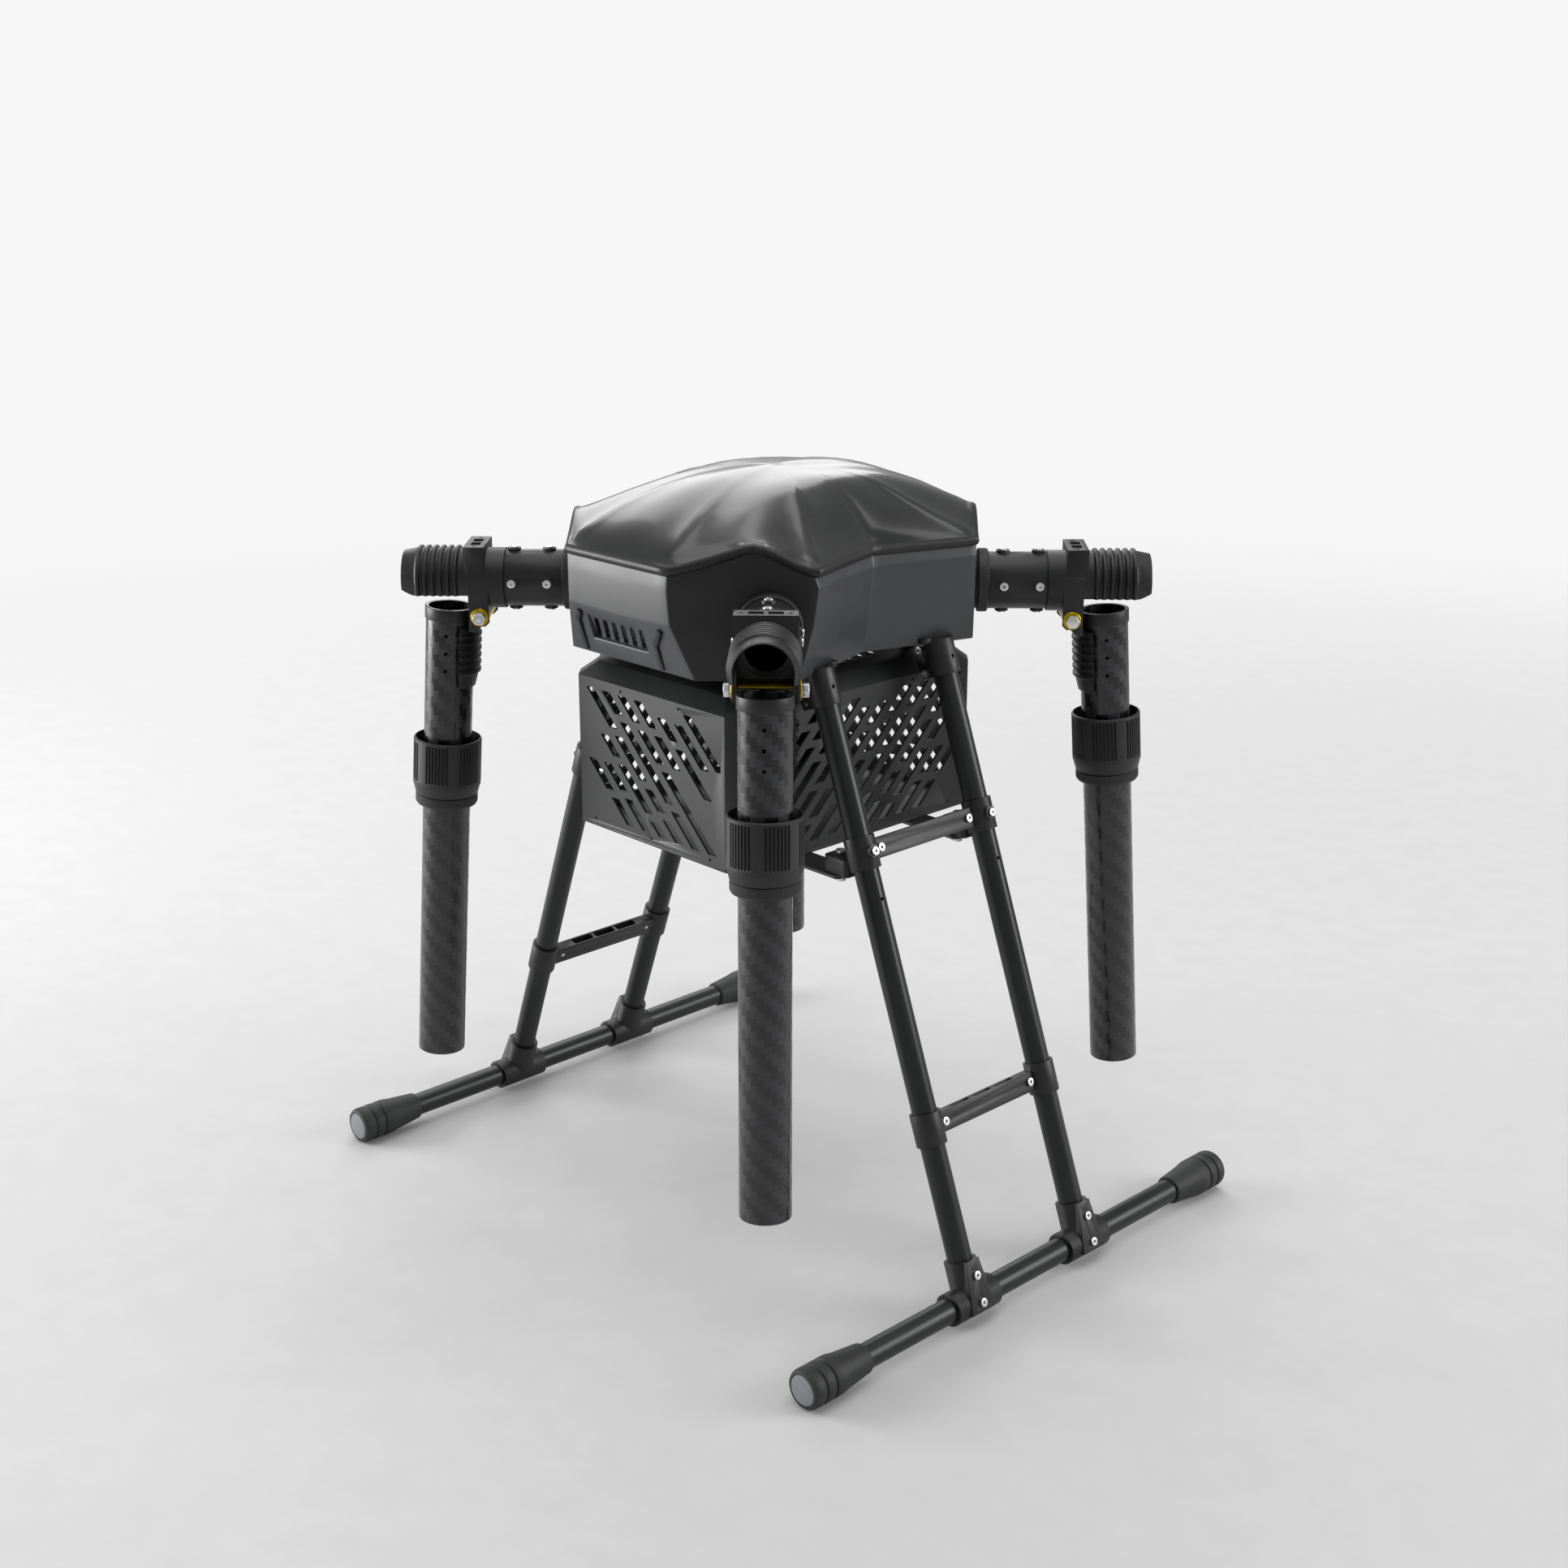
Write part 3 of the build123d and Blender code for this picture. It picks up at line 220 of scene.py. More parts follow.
@dataclass(frozen=True)
class TwillTube(Finish):
    """Roll-wrapped carbon tube in 2/2 twill: stepped diagonals under clear resin, with the tows that lie one way
    given a lighter colour as painted sheen.

    Attributes:
        place: Matrix from the object to the tube's frame, along +X with its centre on the axis.
        radius_mm: Outer radius, which sets how many tows go round.
        tows: Tows round the tube, a multiple of four so that the twill closes.
    """

    place: Matrix = Matrix.Identity(4)
    radius_mm: float = 20.0
    tows: int = 24

    def pattern(self, tree: bpy.types.NodeTree) -> Tuple[Any, Any, Any]:
        """Draws the weave from the tube's own length and angle, with Finish's three outputs."""
        width = 2 * math.pi * self.radius_mm * MM / self.tows
        math_node = "ShaderNodeMath"
        place = add_node(tree, "ShaderNodeTexCoord", {}, {})
        lay = add_node(tree, "ShaderNodeMapping", {}, {
            "Vector": place.outputs["Object"], "Rotation": self.place.to_euler(),
            "Location": self.place.to_translation()})
        axes = add_node(tree, "ShaderNodeSeparateXYZ", {}, {0: lay.outputs[0]})
        turn = add_node(tree, math_node, {"operation": "ARCTAN2"}, {0: axes.outputs[1], 1: axes.outputs[2]})
        across = add_node(tree, math_node, {"operation": "MULTIPLY"}, {
            0: turn.outputs[0], 1: self.tows / (2 * math.pi)})
        along = add_node(tree, math_node, {"operation": "DIVIDE"}, {0: axes.outputs[0], 1: width})
        column = add_node(tree, math_node, {"operation": "FLOOR"}, {0: across.outputs[0]})
        row = add_node(tree, math_node, {"operation": "FLOOR"}, {0: along.outputs[0]})
        step = add_node(tree, math_node, {"operation": "SUBTRACT"}, {0: column.outputs[0], 1: row.outputs[0]})
        turn_of_four = add_node(tree, math_node, {"operation": "FLOORED_MODULO"}, {
            0: step.outputs[0], 1: 4.0})
        over = add_node(tree, math_node, {"operation": "LESS_THAN"}, {0: turn_of_four.outputs[0], 1: 1.5})
        crown_a = add_node(tree, math_node, {"operation": "PINGPONG"}, {0: across.outputs[0], 1: 0.5})
        crown_b = add_node(tree, math_node, {"operation": "PINGPONG"}, {0: along.outputs[0], 1: 0.5})
        crown = add_node(tree, "ShaderNodeMix", {"data_type": "FLOAT"}, {
            "Factor": over.outputs[0], 2: crown_a.outputs[0], 3: crown_b.outputs[0]})
        strands = add_node(tree, "ShaderNodeTexNoise", {}, {
            "Vector": lay.outputs[0], "Scale": 1 / (0.9 * MM), "Detail": 2.0})
        # The weave pattern is real, but its lighter tows are painted sheen: the glint off fibres that lie the other
        # way
        strands_and_tow_sheen = add_node(tree, math_node, {"operation": "MULTIPLY_ADD"}, {
            0: strands.outputs["Fac"], 1: 0.35, 2: over.outputs[0]})
        tone = add_node(tree, "ShaderNodeMapRange", {}, {
            "Value": strands_and_tow_sheen.outputs[0], "From Min": 0.0, "From Max": 1.3})
        colour = add_node(tree, "ShaderNodeMix", {"data_type": "RGBA"}, {
            "Factor": tone.outputs[0], 6: linear(self.dark), 7: linear(self.light)})
        gloss = add_node(tree, "ShaderNodeMapRange", {}, {
            "Value": tone.outputs[0], "To Min": self.rough[0], "To Max": self.rough[1]})
        return colour.outputs[2], gloss.outputs[0], crown.outputs[0]


FINISHES: Tuple[Finish, ...] = (
    # Gloss-painted ABS, vacuum formed: long soft reflections with a faint orange peel
    Finish("painted_abs_cover", "cover_plastic", "#1b1c1d", "#222324", (0.22, 0.28), 3.0, 0.004, coat=0.3,
           coat_rough=0.12),
    # Moulded ABS, spark-eroded texture: even grey with a dry sheen
    Finish("textured_abs_shell", "shell_plastic", "#37383a", "#404143", (0.36, 0.46), 0.6, 0.006),
    # Glass-filled nylon, moulded: near black with a slightly mottled skin
    Finish("glass_filled_nylon", "moulded_nylon", "#0d0d0e", "#191a1b", (0.38, 0.52), 0.7, 0.012),
    # Fine-turned nylon sleeve: dull black that shows its flutes
    Finish("sleeve_nylon_moulding", "sleeve_nylon", "#131314", "#202122", (0.42, 0.56), 0.6, 0.012),
    # Carbon root tube: woven, matt inside the hinge
    Finish("carbon_root_tube", "carbon_tube", "#0b0b0c", "#1d1e20", (0.3, 0.42), 1.2, 0.012),
    # Nickel-plated steel: bright white metal, softly polished
    Finish("nickel_plated_steel", "bright_steel", "#d4d4d6", "#f2f2f3", (0.24, 0.36), 0.5, 0.003, metallic=1.0),
    # Black-oxide screws: dark metal with a low sheen
    Finish("black_oxide_steel", "black_screws", "#0e0e0f", "#1b1b1c", (0.35, 0.5), 0.5, 0.004, metallic=0.6),
    # Turned brass: warm yellow with fine turning marks
    Finish("turned_brass", "brass", "#b8930f", "#e6c62a", (0.22, 0.34), 0.5, 0.004, metallic=1.0),
    # Carbon-fibre deck plate: dark woven sheet
    Finish("carbon_deck_plate", "deck_plate", "#101112", "#232426", (0.36, 0.5), 1.4, 0.012),
    # Hard-anodised aluminium clamp: satin black metal
    Finish("black_anodised_alloy", "black_alloy", "#141415", "#202122", (0.36, 0.46), 0.5, 0.005, metallic=0.4),
    # Glass-epoxy circuit board: green lacquer with faint weave
    Finish("lacquered_circuit_board", "circuit_board", "#0f3a24", "#175034", (0.3, 0.42), 0.9, 0.008),
    # Moulded polycarbonate housing: plain black with a soft grain
    Finish("polycarbonate_housing", "black_housing", "#121213", "#1d1d1e", (0.4, 0.52), 0.6, 0.01),
    # Powder-coated aluminium sheet: fine pebbled black
    Finish("powder_coated_sheet", "bay_sheet", "#1f2021", "#2a2b2c", (0.4, 0.5), 0.7, 0.014),
    # Drawn and anodised aluminium tube: satin black, streaked along its length
    Finish("anodised_alloy_tube", "leg_tube", "#1d1e1f", "#292a2b", (0.3, 0.4), 0.9, 0.005, metallic=0.35,
           stretch=(1.0, 0.25, 0.12)),
    # Moulded EPDM rubber: dull charcoal with a dusty bloom
    Finish("epdm_rubber", "foot_rubber", "#191a1a", "#28292a", (0.52, 0.66), 0.8, 0.02),
    # Grey PVC end plug: mid grey, softly matt
    Finish("pvc_end_plug", "cap_plastic", "#6c6d70", "#85868a", (0.45, 0.58), 0.7, 0.01),
)


class Paintbox:
    """Every finished material, by slot, made once."""

    def __init__(self) -> None:
        """Builds the plain finishes."""
        self.by_slot: Dict[str, bpy.types.Material] = {f.slot: f.build() for f in FINISHES}
        rows = frame["record"]["subparts"]
        self.node_slot: Dict[str, str] = {row["node"]: row["material_slot"] for row in rows}

    def dress(self, node: str, material: bpy.types.Material) -> None:
        """Gives a CAD node's object another material in every slot.

        Args:
            node: Name of the CAD node.
            material: Material that it takes.
        """
        piece = frame["nodes"][node]
        if not piece.material_slots:
            piece.data.materials.append(material)
        for slot in piece.material_slots:
            slot.material = material


# ---- Mesh work -----------------------------------------------------------------------


def lathe(bm: bmesh.types.BMesh, profile: Profile, steps: int) -> None:
    """Turns a profile into a round body about the X axis.

    Args:
        bm: Mesh that takes it.
        profile: Points as (distance along X, radius) in millimetres, from end to end.
        steps: Divisions of the full turn.
    """
    verts = [bm.verts.new((x * MM, 0, r * MM)) for x, r in profile]
    edges = [bm.edges.new(pair) for pair in zip(verts, verts[1:])]
    bmesh.ops.spin(bm, geom=verts + edges, cent=(0, 0, 0), axis=(1, 0, 0), dvec=(0, 0, 0),
                   angle=2 * math.pi, steps=steps, use_merge=True)


def settle(bm: bmesh.types.BMesh) -> None:
    """Merges doubles and turns every face outwards."""
    bmesh.ops.remove_doubles(bm, verts=bm.verts, dist=1e-6)
    bmesh.ops.recalc_face_normals(bm, faces=bm.faces)


def add_part(bm: bmesh.types.BMesh, part: bmesh.types.BMesh, label: str) -> None:
    """Settles one finished part and adds it to a mesh that holds several.

    Args:
        bm: Mesh that takes the part.
        part: The part, already in place. It is freed.
        label: Name of the passing mesh data.
    """
    settle(part)
    data = bpy.data.meshes.new(label)
    part.to_mesh(data)
    part.free()
    bm.from_mesh(data)
    bpy.data.meshes.remove(data)


def round_edges(bm: bmesh.types.BMesh, width_mm: float, segments: int, least: float = 28.0) -> None:
    """Bevels the sharp edges.

    Args:
        bm: Mesh to round.
        width_mm: Width of the bevel.
        segments: Divisions across it.
        least: Smallest angle in degrees that counts as sharp.
    """
    sharp = [e for e in bm.edges if len(e.link_faces) == 2 and e.calc_face_angle(0.0) > math.radians(least)]
    bmesh.ops.bevel(bm, geom=sharp, offset=width_mm * MM, offset_type="OFFSET", segments=segments,
                    profile=0.5, affect="EDGES", clamp_overlap=True, material=-1)


def make_piece(bm: bmesh.types.BMesh, name: str, body: str, material: bpy.types.Material,
               nodes: Sequence[str], smooth: float = 38.0) -> bpy.types.Object:
    """Turns a finished mesh into a piece that rides a body and stands for CAD nodes.

    Args:
        bm: Finished mesh, already in place. It is freed.
        name: Name of the piece.
        body: Body that it rides.
        material: Its material.
        nodes: CAD nodes that it replaces.
        smooth: Angle in degrees under which edges shade smoothly.

    Returns:
        The new object.
    """
    data = bpy.data.meshes.new(name)
    bm.to_mesh(data)
    bm.free()
    data.materials.append(material)
    data.polygons.foreach_set("use_smooth", [True] * len(data.polygons))
    data.set_sharp_from_angle(angle=math.radians(smooth))
    piece = bpy.data.objects.new(name, data)
    bpy.context.scene.collection.objects.link(piece)
    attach(piece, body)
    if nodes:
        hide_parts(*nodes)
    LOG.info("%s: %d faces", name, len(data.polygons))
    return piece


def softened(node: str, width_mm: float, segments: int, paint: Paintbox) -> bpy.types.Object:
    """Copies a CAD node's mesh, joins its flat faces and rounds its edges.

    Args:
        node: Name of the CAD node.
        width_mm: Width of the rounding.
        segments: Divisions across it.
        paint: Source of the material.

    Returns:
        The piece that stands for the node.
    """
    source = frame["nodes"][node]
    bm = bmesh.new()
    bm.from_mesh(source.data)
    bmesh.ops.remove_doubles(bm, verts=bm.verts, dist=2e-6)
    bmesh.ops.dissolve_limit(bm, angle_limit=math.radians(0.6), verts=bm.verts, edges=bm.edges, delimit=set())
    round_edges(bm, width_mm, segments)
    bmesh.ops.remove_doubles(bm, verts=bm.verts, dist=1e-6)
    slot = paint.node_slot[node]
    return make_piece(bm, f"{node}_finished", source["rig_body"], paint.by_slot[slot], [node])


# ---- Body ----------------------------------------------------------------------------


@dataclass
class BodyShape:
    """Plan of the body, shared by cover and shell, in millimetres."""

    face_y: float = 169.6
    side_x: float = 141.0
    side_y: float = 88.1
    waist: float = 112.0
    wall_reach: float = 162.0
    seam: float = 572.0
    arch_rise: float = 18.0
    arch_start: float = -77.8
    arch_centre: float = -15.0
    arch_end: float = 37.4
    cuts: int = 13

    def corners(self, face_in: float = 0.0, side_in: float = 0.0) -> List[Tuple[float, float]]:
        """Corners of the plan.

        Args:
            face_in: How far the front and rear faces move in.
            side_in: How far the side faces move in.

        Returns:
            Ten corners, anticlockwise from the front right.
        """
        slide = self.wall_reach * math.sqrt(2)
        face_y, side_x = self.face_y - face_in, self.side_x - side_in
        quarter = [(slide - face_y, -face_y), (side_x, side_x - slide), (self.waist - side_in, 0.0)]
        right = quarter + [(x, -y) for x, y in reversed(quarter[:2])]
        return right + [(-x, y) for x, y in reversed(right)]

    def arch(self, x: float, y: float) -> float:
        """Height that the seam gains over the arm root nearest to a point."""
        along = (abs(x) - abs(y)) / math.sqrt(2)
        low, high = self.arch_start, self.arch_end
        if along <= low or along >= high:
            return 0.0
        if along < self.arch_centre:
            part = (along - low) / (self.arch_centre - low)
            return self.arch_rise * (part ** 1.25)
        part = (along - self.arch_centre) / (high - self.arch_centre)
        return self.arch_rise * 0.5 * (1 + math.cos(math.pi * part))

    def ring(self, bm: bmesh.types.BMesh, corners: Profile, level: Callable[[float, float], float],
             cuts: int) -> List[bmesh.types.BMEdge]:
        """Lays a closed loop of edges on the plan.

        Args:
            bm: Mesh that takes the loop.
            corners: Its ten corners.
            level: Height in millimetres at a point.
            cuts: Cuts in each side.

        Returns:
            The loop's edges.
        """
        made = bmesh.ops.create_circle(bm, segments=len(corners), radius=0.1, cap_ends=False)["verts"]
        for vert, (x, y) in zip(made, corners):
            vert.co = (x * MM, y * MM, 0)
        edges = list({e for v in made for e in v.link_edges})
        split = bmesh.ops.subdivide_edges(bm, edges=edges, cuts=cuts)
        fresh = {g for g in split["geom"] if isinstance(g, bmesh.types.BMEdge)}
        loop = list(fresh | {e for e in edges if e.is_valid})
        for vert in {v for e in loop for v in e.verts}:
            vert.co.z = level(vert.co.x / MM, vert.co.y / MM) * MM
        return loop


@dataclass
class TopCover:
    """Painted dome with four arches, a ridge and a groove each side, and painted shadow in the screw holes."""

    shape: BodyShape
    rim: float = 577.5
    rise: float = 51.0
    skin_lift: float = 2.0
    smoothing_sweeps: int = 14
    ridge_x: float = 80.0
    ridge_bow: float = 24.0
    ridge_span: float = 124.0
    ridge_drop: float = 8.5
    groove_x: float = 30.0
    groove_depth: float = 3.0
    hole_radius: float = 3.4
    holes: Tuple[Tuple[float, float], ...] = ((51.5, 150.6), (118.0, 62.1))

    def fill(self, x: float, y: float, power: float = 24.0) -> float:
        """How near a point is to the edge: nought at the centre, one on the plan.

        Args:
            x: Place across the body, in millimetres.
            y: Place along it.
            power: Sharpness of the corners; a low power runs smoothly round them.

        Returns:
            The share of the way out.
        """
        shape = self.shape
        flare = math.sqrt(y * y + 400) / math.sqrt(shape.side_y ** 2 + 400)
        side = shape.waist + (shape.side_x - shape.waist) * flare
        parts = (abs(y) / shape.face_y, abs(x) / side, (abs(x) + abs(y)) / (math.sqrt(2) * shape.wall_reach))
        return sum(p ** power for p in parts) ** (1 / power)

    def height(self, x: float, y: float) -> float:
        """Height of the outer surface above the ground, in millimetres."""
        near = min(self.fill(x, y), 1.0)
        soft = min(self.fill(x, y, 2.4) / 1.2, 1.1)
        outer = min(1.0, max(0.0, (near - 0.6) / 0.4))
        outer = outer * outer * (3 - 2 * outer)
        blend = near * outer + soft * (1 - outer)
        dome = self.rim + self.rise * (1 - blend ** 3.2)
        lift = self.shape.arch(x, y) * near ** 5
        ridge_x = self.ridge_x + self.ridge_bow * (abs(y) / self.ridge_span) ** 2.2
        off = abs(x) - ridge_x
        edge = 1 - near ** 10
        step = -self.ridge_drop / (1 + math.exp(-off / 6.5)) * edge * math.exp(-(y / 145) ** 8)
        swell = 2.4 * math.exp(-((off + 15) / 15) ** 2) * edge
        width = 8 + 0.05 * max(0.0, 90 - abs(y))
        groove = -self.groove_depth * math.exp(-((abs(x) - self.groove_x) / width) ** 2) * math.exp(-(y / 78) ** 4)
        return dome + lift + step + swell + groove

    def build(self, paint: Paintbox) -> None:
        """Builds the cover's outer skin and rolled lip, closed underneath by one flat face."""
        bm = bmesh.new()
        shape = self.shape
        rings = [
            (0.965, lambda x, y: shape.seam + 0.6 + shape.arch(x, y)),
            (0.995, lambda x, y: shape.seam - 0.6 + shape.arch(x, y)),
            (1.008, lambda x, y: shape.seam + 0.9 + shape.arch(x, y)),
            (1.013, lambda x, y: shape.seam + 3.4 + shape.arch(x, y)),
            (1.008, lambda x, y: shape.seam + 5.9 + shape.arch(x, y)),
            (0.995, lambda x, y: shape.seam + 7.4 + shape.arch(x, y)),
        ]
        loops = []
        for scale, level in rings:
            corners = [(x * scale, y * scale) for x, y in shape.corners()]
            loops.append(shape.ring(bm, corners, level, shape.cuts))
        for scale in (0.975, 0.95, 0.92, 0.88, 0.84, 0.79, 0.74, 0.68, 0.62, 0.56, 0.5, 0.44, 0.38, 0.31,
                      0.24, 0.17, 0.1, 0.04):
            corners = [(x * scale, y * scale) for x, y in shape.corners()]
            loops.append(shape.ring(bm, corners, lambda x, y: self.height(x, y) + self.skin_lift, shape.cuts))
        for low, high in zip(loops, loops[1:]):
            bmesh.ops.bridge_loops(bm, edges=low + high)
        bmesh.ops.holes_fill(bm, edges=[e for e in bm.edges if e.is_boundary], sides=0)
        for _ in range(self.smoothing_sweeps):
            inner = [v for v in bm.verts if v.co.z > (shape.seam + 8) * MM
                     and self.fill(v.co.x / MM, v.co.y / MM) < 0.985]
            bmesh.ops.smooth_vert(bm, verts=inner, factor=0.5, use_axis_x=False, use_axis_y=False,
                                  use_axis_z=True)
        settle(bm)
        rim = [f.calc_center_median() for f in bm.faces]
        flags = [int(c.z / MM < shape.seam + 7.6 + shape.arch(c.x / MM, c.y / MM)
                     and self.fill(c.x / MM, c.y / MM) > 0.9) for c in rim]
        skin = make_piece(bm, "top_cover_skin", "frame", paint.by_slot["cover_plastic"],
                          ["top_cover"], 50)
        skin.data.materials.append(paint.by_slot["black_housing"])
        skin.data.polygons.foreach_set("material_index", flags)
        self.wells(paint)

    def wells(self, paint: Paintbox) -> None:
        """Lays a near-black disc of painted shadow, just proud of the skin, where each cover screw sits in its deep
        hole.
        """
        bm = bmesh.new()
        for x, y in self.holes:
            for sx in (1, -1):
                for sy in (1, -1):
                    top = self.height(x, y) + self.skin_lift
                    turned = bmesh.new()
                    r = self.hole_radius
                    disc = [(-1.5, 0.0), (-1.5, r), (0.25, r), (0.45, r - 0.35), (0.2, r - 0.7), (0.2, 0.0)]
                    lathe(turned, disc, 28)
                    slope = self.normal(x, y)
                    axis = Vector((slope.x * sx, slope.y * sy, slope.z))
                    turn = axis.to_track_quat("X", "Z").to_matrix().to_4x4()
                    place = Matrix.Translation(Vector((x * sx, y * sy, top)) * MM) @ turn
                    bmesh.ops.transform(turned, matrix=place, verts=turned.verts)
                    add_part(bm, turned, "well")
        # Painted shadow of the deep counterbore in black plastic: the near-black disc stands for the dark inside,
        # where almost no light comes back out
        shadow = Finish("counterbore_shadow", "black_screws", "#020202", "#050505", (0.7, 0.85), 0.8,
                        0.01).build()
        make_piece(bm, "cover_screw_wells", "frame", shadow, ["cover_screws"])

    def normal(self, x: float, y: float) -> Vector:
        """Direction straight out of the surface at a point."""
        step = 2.0
        dx = (self.height(x + step, y) - self.height(x - step, y)) / (2 * step)
        dy = (self.height(x, y + step) - self.height(x, y - step)) / (2 * step)
        return Vector((-dx, -dy, 1)).normalized()


@dataclass
class LowerShell:
    """Moulded tub under the cover, with folded faces, a vent recess and bands beside it."""

    shape: BodyShape
    crease: float = 532.0
    belly: float = 491.0
    face_lean: float = 14.6
    side_lean: float = 9.0
    band: float = 5.0

    def build(self, paint: Paintbox) -> None:
        """Builds the tub from rings, cuts the vent pocket, rounds its folds and paints shade on its corner walls.
        """
        bm = bmesh.new()
        shape = self.shape
        levels = [
            (0.6, 2.4, lambda x, y: shape.seam + shape.arch(x, y)),
            (0.0, 0.0, lambda x, y: 558.0 + 5.0 * abs(x) / 141),
            (1.4, 2.6, lambda x, y: self.crease + 3.0 * min(1.0, abs(x) / 120)),
            (self.face_lean, self.side_lean + 1.5, lambda x, y: self.belly),
        ]
        loops = [shape.ring(bm, shape.corners(f, s), level, shape.cuts) for f, s, level in levels]
        for low, high in zip(loops, loops[1:]):
            bmesh.ops.bridge_loops(bm, edges=low + high)
        bmesh.ops.holes_fill(bm, edges=[e for e in bm.edges if e.is_boundary], sides=0)
        settle(bm)
        self.pocket(bm)
        settle(bm)
        round_edges(bm, 1.5, 3, 9.0)
        settle(bm)
        # Corner walls, which face an arm root, take the darker black housing material: painted shade, as they are
        # the same plastic turned away from the lights
        flags = [int(abs(abs(f.normal.x) - abs(f.normal.y)) < 0.35 and abs(f.normal.z) < 0.6)
                 for f in bm.faces]
        skin = make_piece(bm, "lower_shell_skin", "frame", paint.by_slot["shell_plastic"],
                          ["lower_shell"], 30)
        skin.data.materials.append(paint.by_slot["black_housing"])
        skin.data.polygons.foreach_set("material_index", flags)
        self.bands(paint)

    def bands(self, paint: Paintbox) -> None:
        """Lays the raised bands beside the vent, which bend outwards below the crease; their near-black nylon is
        painted shade along the step.
        """
        lean = math.atan2(self.face_lean, self.crease - self.belly)
        out = Vector((0, -math.cos(lean), -math.sin(lean)))
        foot = Vector((0, -(self.shape.face_y - self.face_lean), self.belly))
        bm = bmesh.new()
        for path in (((38, 3), (38, 24), (48, 38)), ((-54, 3), (-54, 30), (-49, 38))):
            stations = [foot + Vector((x, -math.sin(lean) * up, math.cos(lean) * up)) for x, up in path]
            for low, high in zip(stations, stations[1:]):
                along = high - low
                one = bmesh.ops.create_cube(bm, size=1.0)["verts"]
                side = along.normalized().cross(out)
                frame_of = Matrix((side, along.normalized(), out)).transposed().to_4x4()
                size = Matrix.Diagonal((self.band, along.length + 1.6, 1.8, 1.0))
                place = Matrix.Translation((low + high) / 2) @ frame_of @ size
                bmesh.ops.transform(bm, matrix=Matrix.Scale(MM, 4) @ place, verts=one)
        settle(bm)
        round_edges(bm, 0.4, 2)
        # Near-black nylon on the bands: painted shade along the step beside the vent pocket
        make_piece(bm, "vent_side_bands", "frame", paint.by_slot["moulded_nylon"], [])

    def pocket(self, bm: bmesh.types.BMesh) -> None:
        """Sinks the vent window into the leaning front face round the grille."""
        low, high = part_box("front_grille")
        lean = math.atan2(self.face_lean, self.crease - self.belly)
        normal = Vector((0, -math.cos(lean), -math.sin(lean)))
        up = Vector((0, -math.sin(lean), math.cos(lean)))
        middle = Vector(((low.x + high.x) / 2, low.y, (low.z + high.z) / 2))
        half_x, half_z = (high.x - low.x) / 2 - 3 * MM, (high.z - low.z) / 2 - 3 * MM
        front = [f for f in bm.faces if f.calc_center_median().y < -150 * MM and abs(f.normal.x) < 0.2
                 and self.belly * MM < f.calc_center_median().z < self.crease * MM]
        for point, direction in ((middle - Vector((half_x, 0, 0)), Vector((1, 0, 0))),
                                 (middle + Vector((half_x, 0, 0)), Vector((1, 0, 0))),
                                 (middle - up * half_z, up), (middle + up * half_z, up)):
            front = [f for f in front if f.is_valid]
            edges = list({e for f in front for e in f.edges})
            geom = front + edges + list({v for f in front for v in f.verts})
            cut = bmesh.ops.bisect_plane(bm, geom=geom, plane_co=point, plane_no=direction, dist=1e-7)
            front = [g for g in cut["geom"] if isinstance(g, bmesh.types.BMFace)]
        window = [f for f in front if f.is_valid
                  and abs(f.calc_center_median().x - middle.x) < half_x
                  and abs((f.calc_center_median() - middle).dot(up)) < half_z]
        sunk = bmesh.ops.extrude_face_region(bm, geom=window)
        bmesh.ops.delete(bm, geom=window, context="FACES")
        moved = [g for g in sunk["geom"] if isinstance(g, bmesh.types.BMVert)]
        bmesh.ops.translate(bm, verts=moved, vec=-normal * 11 * MM)


# ---- Arms ----------------------------------------------------------------------------


